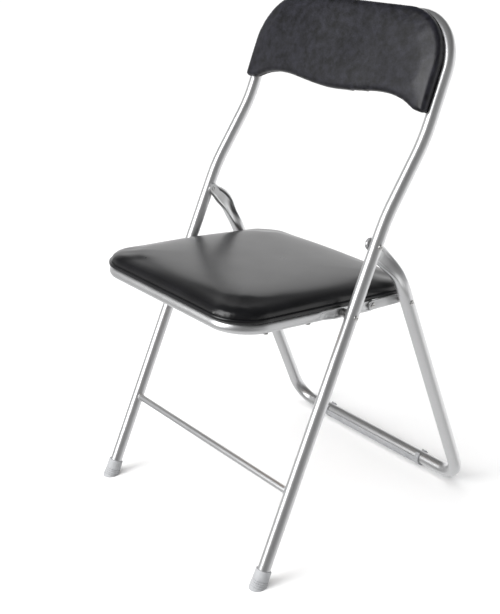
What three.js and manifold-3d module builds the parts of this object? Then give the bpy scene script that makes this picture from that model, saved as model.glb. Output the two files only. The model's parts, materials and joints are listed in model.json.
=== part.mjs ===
// Folding chair: one bent tube makes the front legs and the back, a second one the rear legs, and a
// third one carries the seat. Lengths are in millimetres, +Z is up, the chair faces -Y, and the
// origin is on the floor under the middle of its bounding box.
import * as THREE from "three";
import { mergeVertices } from "three/addons/utils/BufferGeometryUtils.js";
import Module from "manifold-3d";

const wasm = await Module();
wasm.setup();

// ---- Driving dimensions -------------------------------------------------------------------------

// Clearances.
const GAP = 0.3; // between pieces that touch
const HOLE_GAP = 0.3; // radial, between a shank and its hole
const LAYER_GAP = 0.6; // between flat pieces that turn against each other
const HOLE_REACH = 5; // how far the cutter of a hole goes past the metal's middle or face

// Main frame: both front legs and the back hoop.
const MAIN_TUBE = 20; // diameter
const TUBE_WALL = 1.2;
const FRAME_WIDTH = 420; // between the centre lines of the side tubes
const LEG_LEAN = 25.8; // degrees from the vertical
const WAIST_LEAN = 36.1;
const BACK_LEAN = 23.7;
const WAIST_ABOVE_PIVOT = 39; // from the top pivot up to the bend above the legs
const WAIST_RISE = 105; // from there up to the bend below the back
const BACK_RISE = 169; // from there up to the hoop's centre line
const WAIST_BEND = 250; // bend radii, on the centre line
const HOOP_BEND = 81;

// Front feet and the rod between the front legs.
const CAP_WALL = 2;
const CAP_FLOOR = 3; // plastic under the tube's end
const CAP_LENGTH = 27; // along the leg
const CAP_FLARE = 1.2; // how much wider the cap is at the floor, on the radius
const CAP_CHAMFER = 1; // at its upper edge
const STRETCHER_TUBE = 11;
const STRETCHER_HEIGHT = 134;

// Rear legs.
const REAR_TUBE = 22;
const REAR_INSET = 0.8; // from the main tube's centre line in to the rear leg's
const REAR_LEAN = 21; // degrees from the vertical
const REAR_SHOULDER_LEAN = 43.8; // of the flattened ends
const FLOOR_BEND = 40;
const SHOULDER_BEND = 220;
const GLIDE_LENGTH = 250;
const GLIDE_WALL = 1.8;
const GLIDE_FLOOR = 2.2;
const GLIDE_CLIP = 9; // length of the clip at each end
const GLIDE_LIP = 15; // degrees above the middle that the channel's lips reach
const CLIP_LIP = 55; // the same for the clips
const CLIP_EXTRA = 0.8; // how much thicker a clip is
const SOLE_FROM = 60; // degrees below the middle where the round back ends
const SOLE_SHARE = 0.4; // half the flat sole's width, in outer radii

// Fold: the seat's pivot, and the others from it.
const SEAT_PIVOT_HEIGHT = 386.5;
const PIVOT_RISE = 99.5; // up to the rear legs' pivot on the main frame
const LINK_DROP = 7; // down to the link's rear pivot
const REAR_REACH = 117.1; // from the seat pivot back to the link's rear pivot, level
const CRANK = 60; // from the seat pivot to the link's front pivot

// Seat.
const SEAT_TUBE = 18;
const SEAT_SIDE_ROOM = 10.5; // between the seat tube and the main tube
const SEAT_TILT = 5.5; // degrees, front edge up
const SEAT_FRONT = 192; // from the seat pivot to the front tube's centre line
const SEAT_BEND = 52;
const SEAT_PAD_AHEAD = 1; // in front of the front tube
const SEAT_PAD_DEPTH = 368;
const SEAT_PAD_EDGE = 20; // thickness at the pad's edge
const SEAT_PAD_CROWN = 5; // how much thicker the pad is inside its rounded edge
const PAD_CORNER = 60;
const BOARD = 5; // thickness of both boards
const BOARD_INSET = 7; // from the edge of a pad to the edge of its board

// Back pad.
const BACK_PAD_OVERHANG = 2; // past the centre line of the hoop
const BACK_PAD_HEIGHT = 151; // from its middle lower edge to its top
const BACK_PAD_THICK = 19;
const BACK_PAD_CORNER = 92;
const BACK_PAD_DIP = 10; // how far the arcs beside the middle rise above it
const BACK_PAD_TIP = 9; // how far the two lower tips reach below the middle
const BACK_TIP_RADIUS = 7;
const BACK_TIP_FROM = 0.9; // where a tip starts, as a share of the half width
const BACK_TIP_RISE = 2.2; // how high the edge is there, above the tip
const PAD_ROUNDING = 7; // radius of a pad's outer edge

// The back pad's lower edge beside its middle, as (share of the half width, share of the dip).
const BACK_WAVE = [
  [0.22, 0.3],
  [0.54, 1],
  [0.75, 0.55],
];

// Flattened tube ends.
const FLAT_THICK = 3.6;
const FLAT_RIM = 1.2; // how much thicker half the rolled rim is
const RIM_ROOM = 0.72; // room left for the rim between a flat face and the next layer
const EDGE_TAPER = 2.2; // how quickly a flat end closes at its two edges
const REAR_GROOVE = 3.5; // deepest groove where a rear leg's flat end turns round
const SEAT_GROOVE = 3; // the same on the seat tube
const REAR_FLAT_HALF = 14; // half the width of a rear leg's flattened end
const REAR_TIP_HALF = 9.5; // the same at the pivot
const REAR_FLARE = 26; // length from the pivot over which it widens
const REAR_FLAT = 45; // flat length past the top pivot
const REAR_FLAT_BLEND = 35; // length over which it turns round again
const SEAT_FLAT = 9; // flat length in front of the seat pivot
const SEAT_FLAT_BLEND = 27;
const END_MARGIN = 8.5; // tube past the last pivot

// Link plates and fasteners.
const LINK_THICK = 3;
const LINK_WIDTH = 18;
const RIVET = 6; // shank diameter
const RIVET_HEAD = 12;
const RIVET_HEAD_HIGH = 2.6;
const SEAT_SPACER = 14; // outer diameter
const LINK_SPACER = 12;
const SCREW = 4;
const SCREW_HEAD = 8.5;
const SCREW_HEAD_HIGH = 2.4;
const SCREW_POINT = 2; // length of its tapered end
const SCREW_TIP = 0.8; // radius at its tip
const TIP_DEPTH = 0.5; // how far its tip stays below the top of its board
const FLUSH_WIDER = 1.8; // on the radius of the link's rear rivet, where it is set flush
const FLUSH_EDGE = 0.2; // depth of the straight rim of that cone
const FLUSH_DEPTH = 2; // depth at which the cone ends
const SEAT_SCREW_REAR = 60; // in front of the seat pivot
const BACK_SCREW_IN = 45; // to either side of the middle
const BACK_SCREW_OUT = 14; // inside the ends of the hoop's straight top

// The profile of a head, as (share of its height, share of its radius).
const DOME = [
  [0, 1],
  [0.35, 0.96],
  [0.75, 0.7],
  [1, 0.3],
  [1, 0],
];

// Fineness of round shapes.
const OUTER_SIDES = 16;
const INNER_SIDES = 8;
const ARC_STEP = 13; // most degrees of bend in one step
const ROUND_SIDES = 12; // on rivets and holes
const SCREW_SIDES = 10;
const CAP_SIDES = 20;
const CUTTER_SIDES = 24; // on a cutter that makes room for a tube
const CURVE_STEPS = 7; // on the corners of pads, plates and the glide
const TIP_STEPS = 5; // on the corners of the back pad
const WAVE_STEPS = 16; // along its lower edge
const BEVEL_STEPS = 2; // on the upper edge of a pad
const LEAST_STEP = 2; // least length between two sections of a tube
const NEAR = 1e-3; // two lengths this close count as equal

// ---- Values that follow ------------------------------------------------------------------------

const rad = THREE.MathUtils.degToRad;
const slope = (lean) => Math.tan(rad(lean)); // how far back a tube goes for each unit up
const mainRadius = MAIN_TUBE / 2;
const rearRadius = REAR_TUBE / 2;
const seatRadius = SEAT_TUBE / 2;
const sideX = FRAME_WIDTH / 2;
const rearX = sideX - REAR_INSET;
const seatX = sideX - mainRadius - SEAT_SIDE_ROOM - seatRadius;

// Side view, as (y, z): y is zero where the legs' centre lines meet the floor.
const onLeg = (z) => new THREE.Vector2(z * slope(LEG_LEAN), z);
const rising = (from, rise, lean) =>
  new THREE.Vector2(from.x + rise * slope(lean), from.y + rise);
const seatPivot = onLeg(SEAT_PIVOT_HEIGHT);
const topPivot = rising(seatPivot, PIVOT_RISE, LEG_LEAN);
const waistLow = rising(topPivot, WAIST_ABOVE_PIVOT, LEG_LEAN);
const waistHigh = rising(waistLow, WAIST_RISE, WAIST_LEAN);
const backTop = rising(waistHigh, BACK_RISE, BACK_LEAN);
const rearPivot = seatPivot.clone().add(new THREE.Vector2(REAR_REACH, -LINK_DROP));
const frontPivot = rearPivot.clone().sub(seatPivot).setLength(CRANK).add(seatPivot);

// The rear tube rests on its glide; each leg's centre line passes through the link's rear pivot.
const rearBarHeight = rearRadius + GAP + GLIDE_FLOOR;
const rearBar = new THREE.Vector2(
  rearPivot.x + (rearPivot.y - rearBarHeight) * slope(REAR_LEAN),
  rearBarHeight,
);

// Layers across one side, outwards: seat tube's flat end, link plate, then the main tube's inner face.
const flatHalf = FLAT_THICK / 2 + RIM_ROOM; // half a flat end, with room for its rims
const seatFlatX = seatX + seatRadius - flatHalf;
const seatFlatInside = seatFlatX - flatHalf;
const seatFlatOutside = seatFlatX + flatHalf;
const linkInside = seatX + seatRadius + LAYER_GAP;
const linkOutside = linkInside + LINK_THICK;
const mainInside = sideX - mainRadius;
const mainOutside = sideX + mainRadius;
const rearInside = rearX - rearRadius;
const rearOutside = rearX + rearRadius;
const rearFlatX = mainInside - LAYER_GAP - flatHalf;
const rearFlatInside = rearFlatX - flatHalf;

// ---- Solids ------------------------------------------------------------------------------------

// A closed geometry as a manifold-3d solid, whichever way its faces were wound.
function solid(geometry) {
  const bare = geometry.index ? geometry.toNonIndexed() : geometry.clone();
  bare.deleteAttribute("normal");
  bare.deleteAttribute("uv");
  const merged = mergeVertices(bare, 1e-4);
  const made = new wasm.Manifold(
    new wasm.Mesh({
      numProp: 3,
      vertProperties: merged.attributes.position.array,
      triVerts: new Uint32Array(merged.index.array),
    }),
  );
  if (made.volume() > 0) return made;
  const turned = Uint32Array.from(merged.index.array).reverse();
  return new wasm.Manifold(
    new wasm.Mesh({
      numProp: 3,
      vertProperties: merged.attributes.position.array,
      triVerts: turned,
    }),
  );
}

// A manifold-3d solid as a geometry with flat faces.
function geometryOf(made) {
  const mesh = made.getMesh();
  const geometry = new THREE.BufferGeometry();
  geometry.setAttribute("position", new THREE.BufferAttribute(mesh.vertProperties, 3));
  geometry.setIndex(new THREE.BufferAttribute(mesh.triVerts, 1));
  const flat = geometry.toNonIndexed();
  flat.computeVertexNormals();
  return flat;
}

function cut(body, tools) {
  return tools.reduce((left, tool) => left.subtract(tool), body);
}

// A polygon with a given number of sides round a circle, as points.
function circlePoints(radius, sides) {
  const points = [];
  for (let i = 0; i < sides; i++) {
    const angle = (2 * Math.PI * i) / sides;
    points.push(new THREE.Vector2(radius * Math.cos(angle), radius * Math.sin(angle)));
  }
  return points;
}

// A cylinder along X, from one x to another, round a place in the side view.
function crossCylinder(radius, fromX, toX, place) {
  const geometry = new THREE.CylinderGeometry(radius, radius, Math.abs(toX - fromX), ROUND_SIDES);
  geometry.rotateZ(Math.PI / 2);
  geometry.translate((fromX + toX) / 2, place.x, place.y);
  return geometry;
}

// The centre line of a bent tube: a curve whose equal steps of t go from one section to the next, so
// that straight stretches take one step and bends take several.
class BentLine extends THREE.Curve {
  constructor(corners, bends) {
    super();
    this.sections = [];
    this.addSection(corners[0], corners[1].clone().sub(corners[0]).normalize());
    for (let i = 1; i < corners.length - 1; i++) this.addBend(corners, i, bends[i - 1]);
    const last = corners.length - 1;
    this.addSection(corners[last], corners[last].clone().sub(corners[last - 1]).normalize());
  }

  addSection(at, along) {
    const before = this.sections[this.sections.length - 1];
    const length = before ? before.length + before.at.distanceTo(at) : 0;
    this.sections.push({ at: at.clone(), along, length });
  }

  addBend(corners, i, radius) {
    const into = corners[i].clone().sub(corners[i - 1]).normalize();
    const out = corners[i + 1].clone().sub(corners[i]).normalize();
    const turn = into.angleTo(out);
    const axis = into.clone().cross(out).normalize();
    const start = corners[i].clone().addScaledVector(into, -radius * Math.tan(turn / 2));
    const toCentre = axis.clone().cross(into);
    const centre = start.clone().addScaledVector(toCentre, radius);
    const steps = Math.ceil(THREE.MathUtils.radToDeg(turn) / ARC_STEP);
    for (let k = 0; k <= steps; k++) {
      const angle = (turn * k) / steps;
      const spoke = toCentre.clone().multiplyScalar(-radius).applyAxisAngle(axis, angle);
      this.addSection(centre.clone().add(spoke), into.clone().applyAxisAngle(axis, angle));
    }
  }

  // Extra sections along a straight stretch at an end, so that the tube can change shape there.
  addStations(distances) {
    const total = this.sections[this.sections.length - 1].length;
    for (const wanted of [...distances, ...distances.map((d) => total - d)]) {
      const next = this.sections.findIndex((s) => s.length > wanted);
      const a = this.sections[next - 1];
      const b = this.sections[next];
      if (wanted - a.length < LEAST_STEP || b.length - wanted < LEAST_STEP) continue;
      const share = (wanted - a.length) / (b.length - a.length);
      this.sections.splice(next, 0, {
        at: a.at.clone().lerp(b.at, share),
        along: a.along.clone().lerp(b.along, share).normalize(),
        length: wanted,
      });
    }
    return this;
  }

  get steps() {
    return this.sections.length - 1;
  }

  getPoint(t, target = new THREE.Vector3()) {
    const place = Math.min(t * this.steps, this.steps - 1e-9);
    const i = Math.floor(place);
    return target.copy(this.sections[i].at).lerp(this.sections[i + 1].at, place - i);
  }

  getPointAt(u, target) {
    return this.getPoint(u, target);
  }

  getTangentAt(u, target = new THREE.Vector3()) {
    return target.copy(this.sections[Math.round(u * this.steps)].along);
  }
}

// A hollow tube along a bent line, open at both ends.
function tubeGeometry(line, radius) {
  const section = new THREE.Shape(circlePoints(radius, OUTER_SIDES));
  section.holes.push(new THREE.Path(circlePoints(radius - TUBE_WALL, INNER_SIDES)));
  return new THREE.ExtrudeGeometry(section, { steps: line.steps, extrudePath: line });
}

// Presses both ends of a tube flat. Each end is flat for a length, then blends back to round; its
// middle moves sideways by a shift, outwards positive. Its half width is tipHalf at the pivot and
// grows to halfWidth over the length flare. A groove runs along the middle of both faces, where the
// end turns round.
function flattenEnds(geometry, line, radius, shape) {
  const { flat, blend, shift, tipHalf, halfWidth, flare, groove } = shape;
  const total = line.sections[line.sections.length - 1].length;
  const position = geometry.getAttribute("position");
  const point = new THREE.Vector3();
  const offset = new THREE.Vector3();
  const rings = [radius, radius - TUBE_WALL];
  const sectionOf = () =>
    line.sections.find((s) => {
      offset.copy(point).sub(s.at);
      const reach = offset.length();
      const onRing = rings.some((r) => Math.abs(reach - r) < NEAR);
      return onRing && Math.abs(offset.dot(s.along)) < NEAR;
    });
  for (let i = 0; i < position.count; i++) {
    point.fromBufferAttribute(position, i);
    const section = sectionOf();
    const fromEnd = Math.min(section.length, total - section.length);
    const pressed = 1 - THREE.MathUtils.smoothstep(fromEnd, flat, flat + blend);
    if (pressed === 0) continue;
    const side = Math.sign(section.at.x);
    const acrossWay = new THREE.Vector3(1, 0, 0).cross(section.along).normalize();
    const reach = offset.length();
    const inner = reach < radius - TUBE_WALL / 2;
    const out = (offset.x * side) / reach;
    const across = offset.dot(acrossWay) / reach;
    const wall = inner ? TUBE_WALL : 0;
    const rim = FLAT_RIM * across * across;
    const widened = THREE.MathUtils.smoothstep(fromEnd, END_MARGIN, END_MARGIN + flare);
    const half = THREE.MathUtils.lerp(tipHalf, halfWidth, widened);
    const thick = (FLAT_THICK / 2 + rim - wall) * Math.min(1, EDGE_TAPER * Math.abs(out));
    const depth = groove * 4 * pressed * (1 - pressed) * Math.max(0, 2 * Math.abs(out) - 1);
    const flatOut = Math.sign(out) * thick;
    const flatAcross = (half - wall) * across;
    const roundOut = out * reach - Math.sign(out) * depth;
    const newOut = THREE.MathUtils.lerp(roundOut, flatOut, pressed) + shift * pressed;
    const newAcross = THREE.MathUtils.lerp(across * reach, flatAcross, pressed);
    point.copy(section.at);
    point.x += newOut * side;
    point.addScaledVector(acrossWay, newAcross);
    position.setXYZ(i, point.x, point.y, point.z);
  }
  return geometry;
}

// Where a tube that goes from flat to round needs its sections.
function blendStations(flat, blend) {
  return [0, 0.25, 0.5, 0.75, 1].map((share) => flat + share * blend);
}

// Cutters that round both flattened ends of a frame: each takes away what lies past the last pivot,
// along a direction in the side view, and outside a circle round that pivot.
function endCutters(radius, place, way) {
  const room = 50;
  const wide = 2 * sideX + MAIN_TUBE;
  const past = new THREE.BoxGeometry(wide, room, room);
  past.translate(0, room / 2, 0);
  past.rotateX(way.angle());
  past.translate(0, place.x, place.y);
  const geometry = new THREE.CylinderGeometry(radius, radius, wide + GAP, 2 * OUTER_SIDES);
  geometry.rotateZ(Math.PI / 2);
  geometry.translate(0, place.x, place.y);
  return [solid(past).subtract(solid(geometry))];
}

// A turned piece along X: its profile is a list of (distance along, radius), from axis to axis, and
// side is 1 on the right and -1 on the left.
function turned(profile, side, place) {
  const points = profile.map(([along, radius]) => new THREE.Vector2(radius, along));
  const geometry = new THREE.LatheGeometry(points, ROUND_SIDES);
  geometry.rotateZ(-Math.PI / 2);
  if (side < 0) geometry.rotateZ(Math.PI);
  geometry.translate(0, place.x, place.y);
  return geometryOf(solid(geometry));
}

// The domed head of a rivet or screw, growing from x along one direction (1 or -1).
function dome(x, way, radius, high) {
  return DOME.map(([up, out]) => [x + way * high * up, radius * out]);
}

// A rivet with a domed head at both ends, whose heads rest on the faces at the two x given.
function rivet(innerX, outerX, side, place) {
  const inner = dome(innerX - GAP, -1, RIVET_HEAD / 2, RIVET_HEAD_HIGH).reverse();
  const outer = dome(outerX + GAP, 1, RIVET_HEAD / 2, RIVET_HEAD_HIGH);
  const shank = [
    [innerX - GAP, RIVET / 2],
    [outerX + GAP, RIVET / 2],
  ];
  return turned([...inner, ...shank, ...outer], side, place);
}

function spacer(outer, fromX, toX, side, place) {
  const bore = RIVET / 2 + HOLE_GAP;
  const profile = [
    [fromX, bore],
    [fromX, outer / 2],
    [toX, outer / 2],
    [toX, bore],
    [fromX, bore],
  ];
  return turned(profile, side, place);
}

// Cutters for rivet holes on both sides, through everything between two x.
function holePair(fromX, toX, place) {
  return [1, -1].map((side) =>
    solid(crossCylinder(RIVET / 2 + HOLE_GAP, side * fromX, side * toX, place)),
  );
}

// ---- Frames ------------------------------------------------------------------------------------

const toSpace = (x, place) => new THREE.Vector3(x, place.x, place.y);

// The tube stops inside its foot cap, with the cap's floor under its lowest point.
const legWay = waistLow.clone().normalize();
const tubeStart = legWay
  .clone()
  .multiplyScalar((CAP_FLOOR + GAP) / legWay.y + mainRadius * slope(LEG_LEAN));

function mainFrame() {
  const half = [tubeStart, waistLow, waistHigh, backTop];
  const right = half.map((place) => toSpace(sideX, place));
  const left = half.map((place) => toSpace(-sideX, place)).reverse();
  const bends = [WAIST_BEND, WAIST_BEND, HOOP_BEND];
  const line = new BentLine([...right, ...left], [...bends, ...bends.slice().reverse()]);
  const tube = solid(tubeGeometry(line, mainRadius));
  return geometryOf(cut(tube, [...mainHoles(), ...backScrewHoles()]));
}

function mainHoles() {
  const reach = mainRadius + HOLE_REACH;
  return [topPivot, seatPivot].flatMap((place) => holePair(sideX - reach, sideX + reach, place));
}

function frontStretcher() {
  const place = onLeg(STRETCHER_HEIGHT);
  const corners = [toSpace(-sideX, place), toSpace(sideX, place)];
  const rod = solid(tubeGeometry(new BentLine(corners, []), STRETCHER_TUBE / 2));
  const radius = mainRadius + GAP;
  const legs = [sideX, -sideX].map((x) => {
    const geometry = new THREE.CylinderGeometry(radius, radius, 4 * MAIN_TUBE, CUTTER_SIDES);
    geometry.rotateX(Math.PI / 2 - rad(LEG_LEAN));
    geometry.translate(x, place.x, place.y);
    return solid(geometry);
  });
  return geometryOf(cut(rod, legs));
}

// A cup round the end of a leg, cut level with the floor.
function footCap(side) {
  const bore = mainRadius + GAP;
  const floorAt = tubeStart.length() - GAP;
  const below = -2 * mainRadius;
  const outer = bore + CAP_WALL;
  const profile = [
    [0, below],
    [outer + CAP_FLARE, below],
    [outer + CAP_FLARE, 0],
    [outer, CAP_LENGTH - CAP_CHAMFER],
    [outer - CAP_CHAMFER, CAP_LENGTH],
    [bore, CAP_LENGTH],
    [bore, floorAt],
    [0, floorAt],
  ];
  const points = profile.map(([radius, along]) => new THREE.Vector2(radius, along));
  const cup = new THREE.LatheGeometry(points, CAP_SIDES);
  cup.rotateX(Math.PI / 2 - rad(LEG_LEAN));
  cup.translate(side * sideX, 0, 0);
  const room = 4 * MAIN_TUBE;
  const ground = new THREE.BoxGeometry(room, room, room);
  ground.translate(side * sideX, 0, -room / 2);
  return geometryOf(solid(cup).subtract(solid(ground)));
}

// The rear legs' shoulder is where the line of the flattened end meets the line of the leg.
function rearShoulder() {
  const run = slope(REAR_SHOULDER_LEAN);
  const drop =
    (rearPivot.x - topPivot.x - (topPivot.y - rearPivot.y) * slope(REAR_LEAN)) /
    (run - slope(REAR_LEAN));
  return new THREE.Vector2(topPivot.x + drop * run, topPivot.y - drop);
}

function rearLegFrame() {
  const shoulder = rearShoulder();
  const way = topPivot.clone().sub(shoulder).normalize();
  const end = topPivot.clone().addScaledVector(way, END_MARGIN);
  const half = [end, shoulder, rearBar];
  const right = half.map((place) => toSpace(rearX, place));
  const left = half.map((place) => toSpace(-rearX, place)).reverse();
  const bends = [SHOULDER_BEND, FLOOR_BEND];
  const line = new BentLine([...right, ...left], [...bends, ...bends.slice().reverse()]);
  const flat = END_MARGIN + REAR_FLAT;
  const widening = [0, 0.5, 1].map((share) => END_MARGIN + share * REAR_FLARE);
  line.addStations([...widening, ...blendStations(flat, REAR_FLAT_BLEND)]);
  const tube = flattenEnds(tubeGeometry(line, rearRadius), line, rearRadius, {
    flat,
    blend: REAR_FLAT_BLEND,
    shift: rearFlatX - rearX,
    tipHalf: REAR_TIP_HALF,
    halfWidth: REAR_FLAT_HALF,
    flare: REAR_FLARE,
    groove: REAR_GROOVE,
  });
  const tools = [
    ...holePair(rearFlatX - HOLE_REACH, rearFlatX + HOLE_REACH, topPivot),
    ...holePair(rearInside - HOLE_REACH, rearOutside + HOLE_REACH, rearPivot),
    ...endCutters(REAR_TIP_HALF + GAP, topPivot, way),
  ];
  return geometryOf(cut(solid(tube), tools));
}

// A channel that clips on under the rear tube, with a flat sole and a clip at each end.
function rearGlide() {
  const bore = rearRadius + GAP;
  const outer = bore + GLIDE_WALL;
  const sole = -bore - GLIDE_FLOOR;
  const channel = glideSection(bore, outer, sole, GLIDE_LIP);
  const clip = glideSection(bore, outer + CLIP_EXTRA, sole, CLIP_LIP);
  const long = new THREE.ExtrudeGeometry(channel, { depth: GLIDE_LENGTH, bevelEnabled: false });
  long.translate(0, 0, -GLIDE_LENGTH / 2);
  let glide = solid(long);
  for (const side of [1, -1]) {
    const short = new THREE.ExtrudeGeometry(clip, { depth: GLIDE_CLIP, bevelEnabled: false });
    short.translate(0, 0, (side * (GLIDE_LENGTH - GLIDE_CLIP)) / 2 - GLIDE_CLIP / 2);
    glide = glide.add(solid(short));
  }
  const geometry = geometryOf(glide);
  geometry.applyMatrix4(sideToSpace);
  geometry.translate(0, rearBar.x, rearBar.y);
  return geometry;
}

// Turns a shape drawn in the side view, with its x backwards and its y up, so that its depth runs
// along the chair's X.
const sideToSpace = new THREE.Matrix4().makeBasis(
  new THREE.Vector3(0, 1, 0),
  new THREE.Vector3(0, 0, 1),
  new THREE.Vector3(1, 0, 0),
);

// A C-shaped section, open at the top, whose lips reach a number of degrees above the middle.
function glideSection(bore, outer, sole, lips) {
  const soleHalf = SOLE_SHARE * outer;
  const shape = new THREE.Shape();
  shape.absarc(0, 0, outer, rad(180 - lips), rad(180 + SOLE_FROM), false);
  shape.lineTo(-soleHalf, sole);
  shape.lineTo(soleHalf, sole);
  shape.absarc(0, 0, outer, rad(-SOLE_FROM), rad(lips), false);
  shape.absarc(0, 0, bore, rad(lips), rad(180 - lips), true);
  return new THREE.Shape(shape.getPoints(CURVE_STEPS));
}

// ---- Seat --------------------------------------------------------------------------------------

// The seat is drawn level, with y backwards and z up from the seat pivot, and then tilted about it.
const seatTilt = rad(SEAT_TILT);

function tilted(geometry) {
  geometry.rotateX(-seatTilt);
  geometry.translate(0, seatPivot.x, seatPivot.y);
  return geometry;
}

// A place in the side view as the seat's own level (y, z).
function inSeat(place) {
  return place.clone().sub(seatPivot).rotateAround(new THREE.Vector2(), seatTilt);
}

const seatUnderside = seatRadius + GAP;
const seatPadFront = -SEAT_FRONT - seatRadius - SEAT_PAD_AHEAD;
const seatPadHalf = seatX + seatRadius;

function seatFrame() {
  const y = inSeat(frontPivot).x + END_MARGIN;
  const corners = [
    new THREE.Vector3(seatX, y, 0),
    new THREE.Vector3(seatX, -SEAT_FRONT, 0),
    new THREE.Vector3(-seatX, -SEAT_FRONT, 0),
    new THREE.Vector3(-seatX, y, 0),
  ];
  const line = new BentLine(corners, [SEAT_BEND, SEAT_BEND]);
  const flat = y + SEAT_FLAT;
  line.addStations(blendStations(flat, SEAT_FLAT_BLEND));
  const tube = flattenEnds(tubeGeometry(line, seatRadius), line, seatRadius, {
    flat,
    blend: SEAT_FLAT_BLEND,
    shift: seatFlatX - seatX,
    tipHalf: seatRadius,
    halfWidth: seatRadius,
    flare: SEAT_FLAT,
    groove: SEAT_GROOVE,
  });
  const pivots = [seatPivot, frontPivot].flatMap((place) =>
    holePair(seatFlatX - HOLE_REACH, seatFlatX + HOLE_REACH, place),
  );
  const screws = seatScrewPlaces().map((place) => {
    const hole = verticalCylinder(SCREW / 2 + HOLE_GAP, -SEAT_TUBE, SEAT_TUBE, place);
    return solid(tilted(hole));
  });
  const way = new THREE.Vector2(Math.cos(seatTilt), -Math.sin(seatTilt));
  const ends = endCutters(seatRadius + GAP, frontPivot, way);
  return geometryOf(cut(solid(tilted(tube)), [...pivots, ...screws, ...ends]));
}

function seatScrewPlaces() {
  return [SEAT_SCREW_REAR, SEAT_FRONT - SEAT_BEND].flatMap((ahead) =>
    [1, -1].map((side) => new THREE.Vector2(side * seatX, -ahead)),
  );
}

function verticalCylinder(radius, low, high, place) {
  const geometry = new THREE.CylinderGeometry(radius, radius, high - low, ROUND_SIDES);
  geometry.rotateX(Math.PI / 2);
  geometry.translate(place.x, place.y, (low + high) / 2);
  return geometry;
}

// A rectangle with round corners, from one y to another.
function roundedOutline(halfWidth, front, rear, corner) {
  const shape = new THREE.Shape();
  const steps = [
    [halfWidth - corner, front + corner, -90],
    [halfWidth - corner, rear - corner, 0],
    [-halfWidth + corner, rear - corner, 90],
    [-halfWidth + corner, front + corner, 180],
  ];
  for (const [x, y, from] of steps) shape.absarc(x, y, corner, rad(from), rad(from + 90), false);
  return new THREE.Shape(shape.getPoints(CURVE_STEPS));
}

// A plate from z = 0 up, with a rounded upper edge whose bevel stays inside the outline given by
// a function of an inset.
function cushion(outline, edge, crown) {
  const geometry = new THREE.ExtrudeGeometry(outline(PAD_ROUNDING), {
    depth: edge + crown - PAD_ROUNDING,
    bevelThickness: PAD_ROUNDING,
    bevelSize: PAD_ROUNDING,
    bevelSegments: BEVEL_STEPS,
  });
  const room = 4 * FRAME_WIDTH;
  const below = new THREE.BoxGeometry(room, room, room);
  below.translate(0, 0, -room / 2);
  return solid(geometry).subtract(solid(below));
}

function board(outline, holes) {
  const geometry = new THREE.ExtrudeGeometry(outline, { depth: BOARD, bevelEnabled: false });
  return cut(solid(geometry), holes);
}

// Carves the pocket that a board sits in out of the underside of its pad.
function pocket(outline) {
  const depth = BOARD + GAP;
  const geometry = new THREE.ExtrudeGeometry(outline, { depth: 2 * depth, bevelEnabled: false });
  geometry.translate(0, 0, -depth);
  return solid(geometry);
}

function seatOutline(inset) {
  const front = seatPadFront + inset;
  const rear = seatPadFront + SEAT_PAD_DEPTH - inset;
  return roundedOutline(seatPadHalf - inset, front, rear, PAD_CORNER - inset);
}

function seatPad() {
  const pad = cushion(seatOutline, SEAT_PAD_EDGE, SEAT_PAD_CROWN);
  const geometry = geometryOf(pad.subtract(pocket(seatOutline(BOARD_INSET - GAP))));
  geometry.translate(0, 0, seatUnderside);
  return tilted(geometry);
}

function seatBoard() {
  const holes = seatScrewPlaces().map((place) =>
    solid(verticalCylinder(SCREW / 2 + HOLE_GAP, -BOARD, 2 * BOARD, place)),
  );
  const geometry = geometryOf(board(seatOutline(BOARD_INSET), holes));
  geometry.translate(0, 0, seatUnderside);
  return tilted(geometry);
}

// A pan-head screw along Z, whose head starts at z = 0 and whose tip is at a length.
function screw(length) {
  const head = dome(-GAP, -1, SCREW_HEAD / 2, SCREW_HEAD_HIGH).reverse();
  const shank = [
    [-GAP, SCREW / 2],
    [length - SCREW_POINT, SCREW / 2],
    [length, SCREW_TIP],
    [length, 0],
  ];
  const points = [...head, ...shank].map(([along, radius]) => new THREE.Vector2(radius, along));
  const geometry = geometryOf(solid(new THREE.LatheGeometry(points, SCREW_SIDES)));
  return geometry.rotateX(Math.PI / 2);
}

function seatScrew(place) {
  const geometry = screw(SEAT_TUBE + GAP + BOARD - TIP_DEPTH);
  geometry.translate(place.x, place.y, -seatRadius);
  return tilted(geometry);
}

// ---- Back --------------------------------------------------------------------------------------

// The back is drawn flat: x across, y up along the hoop from its upper waist bend, z forwards from
// the plane of the hoop's centre line.
const backWay = new THREE.Vector2(Math.sin(rad(BACK_LEAN)), Math.cos(rad(BACK_LEAN)));
const hoopTop = backTop.distanceTo(waistHigh);
const backPadTop = hoopTop + mainRadius;
const backPadLow = backPadTop - BACK_PAD_HEIGHT;
const backPadHalf = sideX + BACK_PAD_OVERHANG;

function leaned(geometry) {
  const basis = new THREE.Matrix4().makeBasis(
    new THREE.Vector3(1, 0, 0),
    new THREE.Vector3(0, backWay.x, backWay.y),
    new THREE.Vector3(0, -backWay.y, backWay.x),
  );
  geometry.applyMatrix4(basis);
  geometry.translate(0, waistHigh.x, waistHigh.y);
  return geometry;
}

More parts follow.
